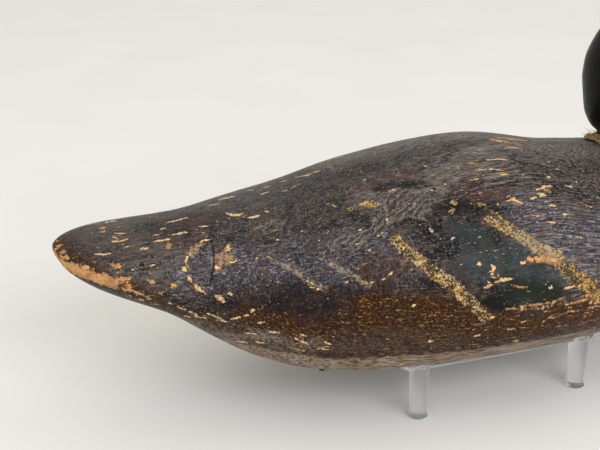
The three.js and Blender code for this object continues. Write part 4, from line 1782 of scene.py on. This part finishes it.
    def carve(self, piece: Piece) -> None:
        """Carve the mouth line, nostrils, bill edge and eye sockets, and mark the wear.

        Args:
            piece: The head's mesh.
        """
        points, normals = read_mesh(piece)
        own = points - ORIGIN
        station, side, level = own[:, 0], np.abs(own[:, 1]), own[:, 2]
        cut = self.mouth_depth * groove(level - self.mouth_at(station), self.mouth_width)
        cut *= smooth_step(station, *self.mouth_along)
        cut *= smooth_step(side, *self.mouth_out)
        ahead, over = self.nostril
        along = (station - ahead) / self.nostril_size[0]
        up = (level - over - self.nostril_slope * (ahead - station)) / self.nostril_size[1]
        hole = np.exp(-((along**2 + up**2) ** 2))
        cut += self.nostril_depth * hole * smooth_step(side, *self.nostril_out)
        line, middle = self.feather_line
        line = line + self.feather_bow * (level - middle) ** 2
        edge = station - (line - self.feather_sweep * smooth_step(side, *self.feather_out))
        cut += self.feather_depth * groove(edge, self.feather_width)
        size, depth = self.tool_mark
        cut += depth * (1 - wander(points, size, self.tool_seed)) / 2
        cut[level < self.seat + self.plain_foot] = 0.0
        for hand in (-1.0, 1.0):
            rel = own - self.eye_middle(hand)
            spread = np.hypot(rel[:, 0], rel[:, 2])
            for deep, out, wide in self.eye_rings:
                cut += np.where(rel[:, 1] * hand > -1.0, deep * groove(spread - out, wide), 0.0)
        own = own - normals * cut[:, None]
        socket = self.eye_radius + self.gap
        for hand in (-1.0, 1.0):
            rel = own - self.eye_middle(hand)
            spread = np.hypot(rel[:, 0], rel[:, 2])
            inside = (spread < socket) & (rel[:, 1] * hand > -socket)
            depth = -np.sqrt(np.maximum(socket**2 - spread**2, 0.0))
            own[inside, 1] = hand * (self.eye_side + depth[inside])
        write_points(piece, own + ORIGIN)
        write_values(piece, self.BILL, edge)
        write_values(piece, self.WEAR, self.convexity(piece))

    def convexity(self, piece: Piece) -> Array:
        """Measure how sharply the surface stands out at every point.

        Args:
            piece: The mesh.

        Returns:
            One number a point, 0 where flat and toward 1 on ridges.
        """
        points, normals = read_mesh(piece)
        pairs = np.empty(len(piece.data.edges) * 2, np.int32)
        piece.data.edges.foreach_get("vertices", pairs)
        first, second = pairs.reshape(-1, 2).T
        near = np.bincount(np.concatenate([first, second]), minlength=len(points))
        rise = np.zeros(len(points))
        step = points[second] - points[first]
        np.add.at(rise, first, -np.einsum("ij,ij->i", step, normals[first]))
        np.add.at(rise, second, np.einsum("ij,ij->i", step, normals[second]))
        bend = rise / np.maximum(near, 1)
        for _ in range(self.wear_rounds):
            total = np.zeros(len(points))
            np.add.at(total, first, bend[second])
            np.add.at(total, second, bend[first])
            bend = total / np.maximum(near, 1)
        return np.clip(bend / self.wear_bend, 0.0, 1.0) * self.wear_top


@dataclass(frozen=True)
class EyeGlass:
    """Blown glass with a painted back. It gives a wet highlight over amber and black."""

    amber: str = "#7a4a16"
    dark_amber: str = "#3a1f0a"
    pupil: str = "#050505"
    fleck: float = 0.7
    pupil_edge: Pair = (2.1, 2.4)
    roughness: float = 0.06
    ior: float = 1.52

    def material(self) -> Material:
        """Make the eye's material.

        Returns:
            The material.
        """
        material, tree = new_material("painted glass")
        spread = add_node(tree, "Attribute", out="Fac", attribute_name=GlassEye.SPREAD)
        spot = add_node(tree, "TexCoord", out="Object")
        size = self.fleck * MM
        flecks = add_node(tree, "TexNoise", {"Vector": spot, "Scale": 1 / size, "Detail": 3.0})
        fleck = add_node(tree, "MapRange", {0: flecks, 1: 0.35, 2: 0.65})
        dark, bright = linear(self.dark_amber), linear(self.amber)
        mixed = {MIX_FACTOR: fleck, MIX_UNDER: dark, MIX_OVER: bright}
        iris = add_node(tree, "Mix", mixed, **MIX_COLOURS)
        low, high = self.pupil_edge
        outside = add_node(tree, "MapRange", {0: spread, 1: low, 2: high})
        mixed = {MIX_FACTOR: outside, MIX_UNDER: linear(self.pupil), MIX_OVER: iris}
        colour = add_node(tree, "Mix", mixed, **MIX_COLOURS)
        shader = add_node(
            tree,
            "BsdfPrincipled",
            {"Base Color": colour, "Roughness": self.roughness, "IOR": self.ior, "Coat Weight": 1.0},
        )
        add_node(tree, "OutputMaterial", {"Surface": shader}, out=None)
        return material


@dataclass
class GlassEye:
    """One glass eye, a ball with a slightly raised front, set looking out and forward."""

    SPREAD = "spread"

    name: str
    hand: float
    radius: float = 4.9
    raised: float = 0.1
    outward: float = 0.97
    forward: float = 0.22
    rings: int = 40
    facets: int = 64

    def build(self, head: CarvedHead) -> Piece:
        """Build the eye in its socket.

        Args:
            head: The head that it is set in.

        Returns:
            The eye.
        """
        rings = []
        for k in range(1, self.rings):
            lean = pi * (1 - k / self.rings)
            rise = self.radius * cos(lean) + self.raised * max(cos(lean), 0.0) ** 8
            rings.append(circle(self.facets, self.radius * sin(lean), rise))
        ends = np.array([0.0, 0.0, -self.radius]), np.array([0.0, 0.0, self.radius + self.raised])
        points, faces = loft(rings, *ends)
        spread = np.where(points[:, 2] > 0, np.hypot(points[:, 0], points[:, 1]), self.radius)
        look = Vector((self.forward, self.hand * self.outward, 0.0)).to_track_quat("Z", "Y")
        turned = points @ np.array(look.to_matrix()).T
        eye = make_piece(self.name, turned + (head.eye_middle(self.hand) + ORIGIN), faces)
        write_values(eye, self.SPREAD, spread)
        return eye


@dataclass(frozen=True)
class TornFiller:
    """Tan fibrous filler pressed into the neck joint. It gives short pale torn strands."""

    tan: str = "#96744a"
    pale: str = "#c2a272"
    dark: str = "#4a3625"
    roughness: float = 0.9
    specular: float = 0.3
    ior: float = 1.5
    bump: float = 1.0
    strand: float = 0.7

    def material(self) -> Material:
        """Make the filler's material.

        Returns:
            The material.
        """
        material, tree = new_material("fibrous wood filler")
        wood = WoodFields(tree)
        fibres = wood.cloud(self.strand * 3, detail=4.0, rough=0.65)
        start = wood.mottled(fibres, 0.4, 0.62, self.tan, self.pale)
        level = wood.patches(wood.cloud(self.strand), 0.2, 0.8, 0.4)
        dry = {0: fibres, 1: 0.3, 2: 0.7, 3: self.roughness - 0.1, 4: self.roughness}
        stack = PaintStack(tree, start, level, add_node(tree, "MapRange", dry))
        stack.cover(wood.patches(wood.cloud(1.8, shift=13.0), 0.55, 0.66, 0.8), self.dark)
        stack.finish(self.specular, self.ior, self.bump)
        return material


@dataclass
class NeckFiller:
    """The filler round the neck joint, wider and rougher behind, with torn strands."""

    gap: float = 0.6
    rise: float = 2.5
    width: float = 1.5
    rear_width: float = 5.6
    edge: float = 0.6
    # Where the slope between edge and neck bends, as shares of the width and the rise
    bend: Pair = (0.4, 0.6)
    # How many times round, how far out and where each ripple of the edge starts
    ripples: tuple[Triple, ...] = (
        (7, 0.5, 0), (11, 0.4, 1), (23, 0.35, 2), (41, 0.25, 4),
    )
    ripple_rise: float = 0.5
    facets: int = 300
    across: int = 22
    crumb: float = 0.55
    crumb_pull: float = 0.6
    # The distance between crumbs, their share of the depth and their seed
    crumbs: tuple[Triple, ...] = ((2.2, 1.0, 3.0), (0.9, 0.6, 9.0))
    strands: int = 90
    strand_spread: float = 0.85
    strand_level: float = 4.0
    strand_start: Pair = (0.5, 2.0)
    strand_slope: Pair = (-0.05, 0.5)
    strand_length: Pair = (3.0, 7.5)
    strand_arch: Pair = (0.0, 0.8)
    strand_radius: float = 0.16
    strand_tip: float = 0.1
    strand_gap: float = 0.3
    strand_steps: int = 7
    strand_facets: int = 6

    def build(self, body: CarvedBody, head: CarvedHead) -> Piece:
        """Build the ring of filler.

        Args:
            body: The body that it lies on.
            head: The head whose neck it goes round.

        Returns:
            The filler.
        """
        angle = full_turn(self.facets)
        behind = np.maximum(-np.cos(angle), 0.0)
        ragged = sum(depth * np.sin(times * angle + phase) for times, depth, phase in self.ripples)
        width = self.width + self.rear_width * behind + ragged
        rise = self.rise + ragged * self.ripple_rise
        foot = head.outline(head.seat, angle)
        level = body.top(foot[:, 0], foot[:, 1]) + self.gap

        def at(out: Array | float, lift: Array | float) -> Array:
            """Find points round the neck.

            Args:
                out: How far they lie out from it.
                lift: How far they lie over the back.

            Returns:
                The points.
            """
            spots = head.outline(level, angle, out)
            spots[:, 2] = body.top(spots[:, 0], spots[:, 1]) + self.gap + lift
            return spots

        upper = head.outline(level, angle, self.gap)
        upper[:, 2] = level + rise
        shoulder = at(width * self.bend[0], rise * self.bend[1])
        corners = [at(self.gap, 0.0), at(width, 0.0), at(width, self.edge), shoulder, upper]
        loops = []
        steps = max(2, self.across // len(corners))
        for corner, following in zip(corners, corners[1:] + corners[:1]):
            loops += [corner + (following - corner) * s / steps for s in range(steps)]
        ring = np.stack(loops, 1)
        count = ring.shape[1]
        points = ring.reshape(-1, 3) + ORIGIN
        faces = []
        for i in range(self.facets):
            here, there = i * count, (i + 1) % self.facets * count
            for k in range(count):
                after = (k + 1) % count
                faces.append((here + k, there + k, there + after, here + after))
        filler = make_piece("neck_joint_filler", points, faces)
        points, normals = read_mesh(filler)
        rough = sum(share * wander(points, size, seed) for size, share, seed in self.crumbs)
        write_points(filler, points + normals * (self.crumb * (rough - self.crumb_pull))[:, None])
        return filler

    def build_strands(self, body: CarvedBody, head: CarvedHead) -> Piece:
        """Build the torn strands that stick out of the filler, mostly behind the neck.

        Args:
            body: The body that they lie on.
            head: The head whose neck they stand round.

        Returns:
            The strands, as one piece.
        """
        draw = np.random.default_rng(SEED)
        points: list[Array] = []
        faces: Faces = []
        turn = full_turn(self.strand_facets)
        for _ in range(self.strands):
            angle = pi + draw.normal(0.0, self.strand_spread)
            out = draw.uniform(1.0, self.width + self.rear_width * max(-cos(angle), 0.0))
            root = head.outline(head.seat + self.strand_level, np.array([angle]), out)[0]
            root[2] = float(body.top(root[0], root[1])) + self.gap + draw.uniform(*self.strand_start)
            heading = draw.uniform(0.0, 2 * pi)
            way = np.array([cos(heading), sin(heading), draw.uniform(*self.strand_slope)])
            length = draw.uniform(*self.strand_length)
            middle = root + way * length / 2 + (0.0, 0.0, draw.uniform(*self.strand_arch))
            tip = root + way * length
            side = np.cross(way, (0.0, 0.0, 1.0))
            side /= np.linalg.norm(side)
            up = np.cross(side, way)
            up /= np.linalg.norm(up)
            hoop = np.outer(np.cos(turn), side) + np.outer(np.sin(turn), up)
            rings = []
            for share in np.linspace(0.0, 1.0, self.strand_steps):
                spot = (1 - share) ** 2 * root + 2 * share * (1 - share) * middle + share**2 * tip
                spot[2] = max(spot[2], float(body.top(spot[0], spot[1])) + self.strand_gap)
                rings.append(spot + self.strand_radius * (1.0 + self.strand_tip - share) * hoop)
            made, made_faces = loft(rings)
            start = sum(len(p) for p in points)
            points.append(made)
            faces += [tuple(k + start for k in face) for face in made_faces]
        return make_piece("filler_strands", np.concatenate(points) + ORIGIN, faces)


@dataclass(frozen=True)
class ClearPlastic:
    """Moulded clear acrylic. It gives a see-through stand with bright edges."""

    tint: str = "#fdfefd"
    roughness: float = 0.05
    ior: float = 1.49
    clearness: float = 0.95
    see_through: float = 0.12

    def material(self) -> Material:
        """Make the plastic's material.

        Returns:
            The material.
        """
        material, tree = new_material("clear moulded acrylic")
        look = {
            "Base Color": linear(self.tint), "Roughness": self.roughness, "IOR": self.ior,
            "Transmission Weight": self.clearness, "Alpha": 1 - self.see_through,
        }
        shader = add_node(tree, "BsdfPrincipled", look)
        add_node(tree, "OutputMaterial", {"Surface": shader}, out=None)
        return material


@dataclass
class DisplayStand:
    """The clear stand: a plate on four tapered legs, one moulding."""

    middle: float = 12.0
    plate: Pair = (107.0, 105.2)
    thickness: float = 2.0
    corner: float = 6.0
    corner_facets: int = 12
    edge_round: float = 0.5
    edge_steps: tuple[float, ...] = (0.0, 0.35, 0.7, 1.0)
    leg_height: float = 27.0
    legs: Pair = (89.0, 98.0)
    leg_profile: Pairs = (
        (4.1, 0.0), (4.5, 0.1), (4.9, 0.35), (5.0, 0.6), (4.85, 0.95), (4.1, 1.25), (4.1, 1.8),
        (4.6, 14.9), (5.1, 28.0),
    )
    leg_facets: int = 72
    sharp_from: float = 38.0

    def plate_outline(self, inset: float) -> Array:
        """Trace the plate's rounded outline.

        Args:
            inset: How far it is moved in.

        Returns:
            Its points from above.
        """
        spots = []
        for k, (x, y) in enumerate(((1, 1), (-1, 1), (-1, -1), (1, -1))):
            for turn in np.linspace(k * pi / 2, (k + 1) * pi / 2, self.corner_facets):
                reach = self.corner - inset
                spots.append((
                    self.middle + x * (self.plate[0] / 2 - self.corner) + reach * cos(turn),
                    y * (self.plate[1] / 2 - self.corner) + reach * sin(turn),
                ))
        return np.array(spots)

    def build(self) -> Piece:
        """Build the plate and join the legs on.

        Returns:
            The stand.
        """
        rings = []
        for share in self.edge_steps:
            inset = self.edge_round * (1 - sin(share * pi / 2))
            level = self.leg_height + self.edge_round * (1 - cos(share * pi / 2))
            outline = self.plate_outline(inset)
            rings.append(np.column_stack([outline, np.full(len(outline), level)]))
        for ring in rings[::-1]:
            upper = ring.copy()
            upper[:, 2] = 2 * self.leg_height + self.thickness - ring[:, 2]
            rings.append(upper)
        stand = make_piece("clear_stand", *loft(rings))
        for x in (-1, 1):
            for y in (-1, 1):
                spot = (self.middle + x * self.legs[0] / 2, y * self.legs[1] / 2)
                rings = [circle(self.leg_facets, r, level, spot) for r, level in self.leg_profile]
                leg = make_piece("leg", *loft(rings))
                union = stand.modifiers.new("join", "BOOLEAN")
                union.operation = "UNION"
                union.solver = "EXACT"
                union.object = leg
                apply_modifiers(stand)
                bpy.data.objects.remove(leg)
        stand.data.set_sharp_from_angle(angle=radians(self.sharp_from))
        return stand


@dataclass(frozen=True)
class RustedIron:
    """Old rusted iron. It gives a rough dark red-brown."""

    rust: str = "#5a3420"
    dark: str = "#2a1a14"
    roughness: float = 0.85
    specular: float = 0.4
    ior: float = 1.5
    bump: float = 1.0
    grit: float = 0.5

    def material(self) -> Material:
        """Make the nail's material.

        Returns:
            The material.
        """
        material, tree = new_material("rusted iron")
        wood = WoodFields(tree)
        pits = wood.cloud(self.grit)
        start = wood.mottled(pits, 0.4, 0.6, self.rust, self.dark)
        level = wood.patches(pits, 0.2, 0.8, 0.3)
        dry = {0: pits, 1: 0.3, 2: 0.7, 3: self.roughness - 0.15, 4: self.roughness}
        stack = PaintStack(tree, start, level, add_node(tree, "MapRange", dry))
        stack.finish(self.specular, self.ior, self.bump)
        return material


@dataclass
class NailHead:
    """A small nail head that stands out of the rounded lower edge."""

    station: float = 116.5
    side: float = -40.0
    radius: float = 1.5
    height: float = 0.9
    # Shares of the radius and of the height
    profile: Pairs = ((1.0, -0.8), (1.0, 0.15), (0.85, 0.55), (0.5, 0.85), (0.2, 0.97))
    facets: int = 20

    def build(self, body: CarvedBody) -> Piece:
        """Build the nail head on the underside's edge.

        Args:
            body: The body that it is driven into.

        Returns:
            The nail head.
        """
        section = body.half_section(self.station)
        low = section[len(section) // 2 :]
        nearest = np.argmin(np.abs(low[:, 1] - abs(self.side)))
        spot, after = low[nearest], low[min(nearest + 2, len(low) - 1)]
        along = Vector((0.0, -(after[1] - spot[1]), after[2] - spot[2])).normalized()
        outward = Vector((1.0, 0.0, 0.0)).cross(along)
        if outward.z > 0:
            outward = -outward
        rings = [circle(self.facets, self.radius * out, self.height * up) for out, up in self.profile]
        points, faces = loft(rings)
        look = np.array(outward.to_track_quat("Z", "Y").to_matrix())
        middle = ORIGIN + (self.station, np.sign(self.side) * spot[1], spot[2])
        return make_piece("nail_head", points @ look.T + middle, faces)


def main() -> None:
    """Build the studio and every piece of the decoy."""
    logging.basicConfig(level=logging.INFO, format="%(message)s")
    view = Viewpoint()
    view.build()
    Studio().build()
    head = CarvedHead()
    body = CarvedBody()
    carved_body = body.build(head)
    body.map_paint(carved_body, view)
    dress(carved_body, WeatheredPaint().material(), "body")
    dress(head.build(), HeadPaint().material(), "head")
    filler, tan = NeckFiller(), TornFiller().material()
    dress(filler.build(body, head), tan, "neck_filler")
    dress(filler.build_strands(body, head), tan)
    glass = EyeGlass().material()
    eyes = (("glass_eye_right", -1.0, "eye_right"), ("glass_eye_left", 1.0, "eye_left"))
    for name, hand, node in eyes:
        dress(GlassEye(name, hand).build(head), glass, node)
    dress(DisplayStand().build(), ClearPlastic().material(), "display_stand")
    dress(NailHead().build(body), RustedIron().material())


if __name__ == "__main__":
    main()
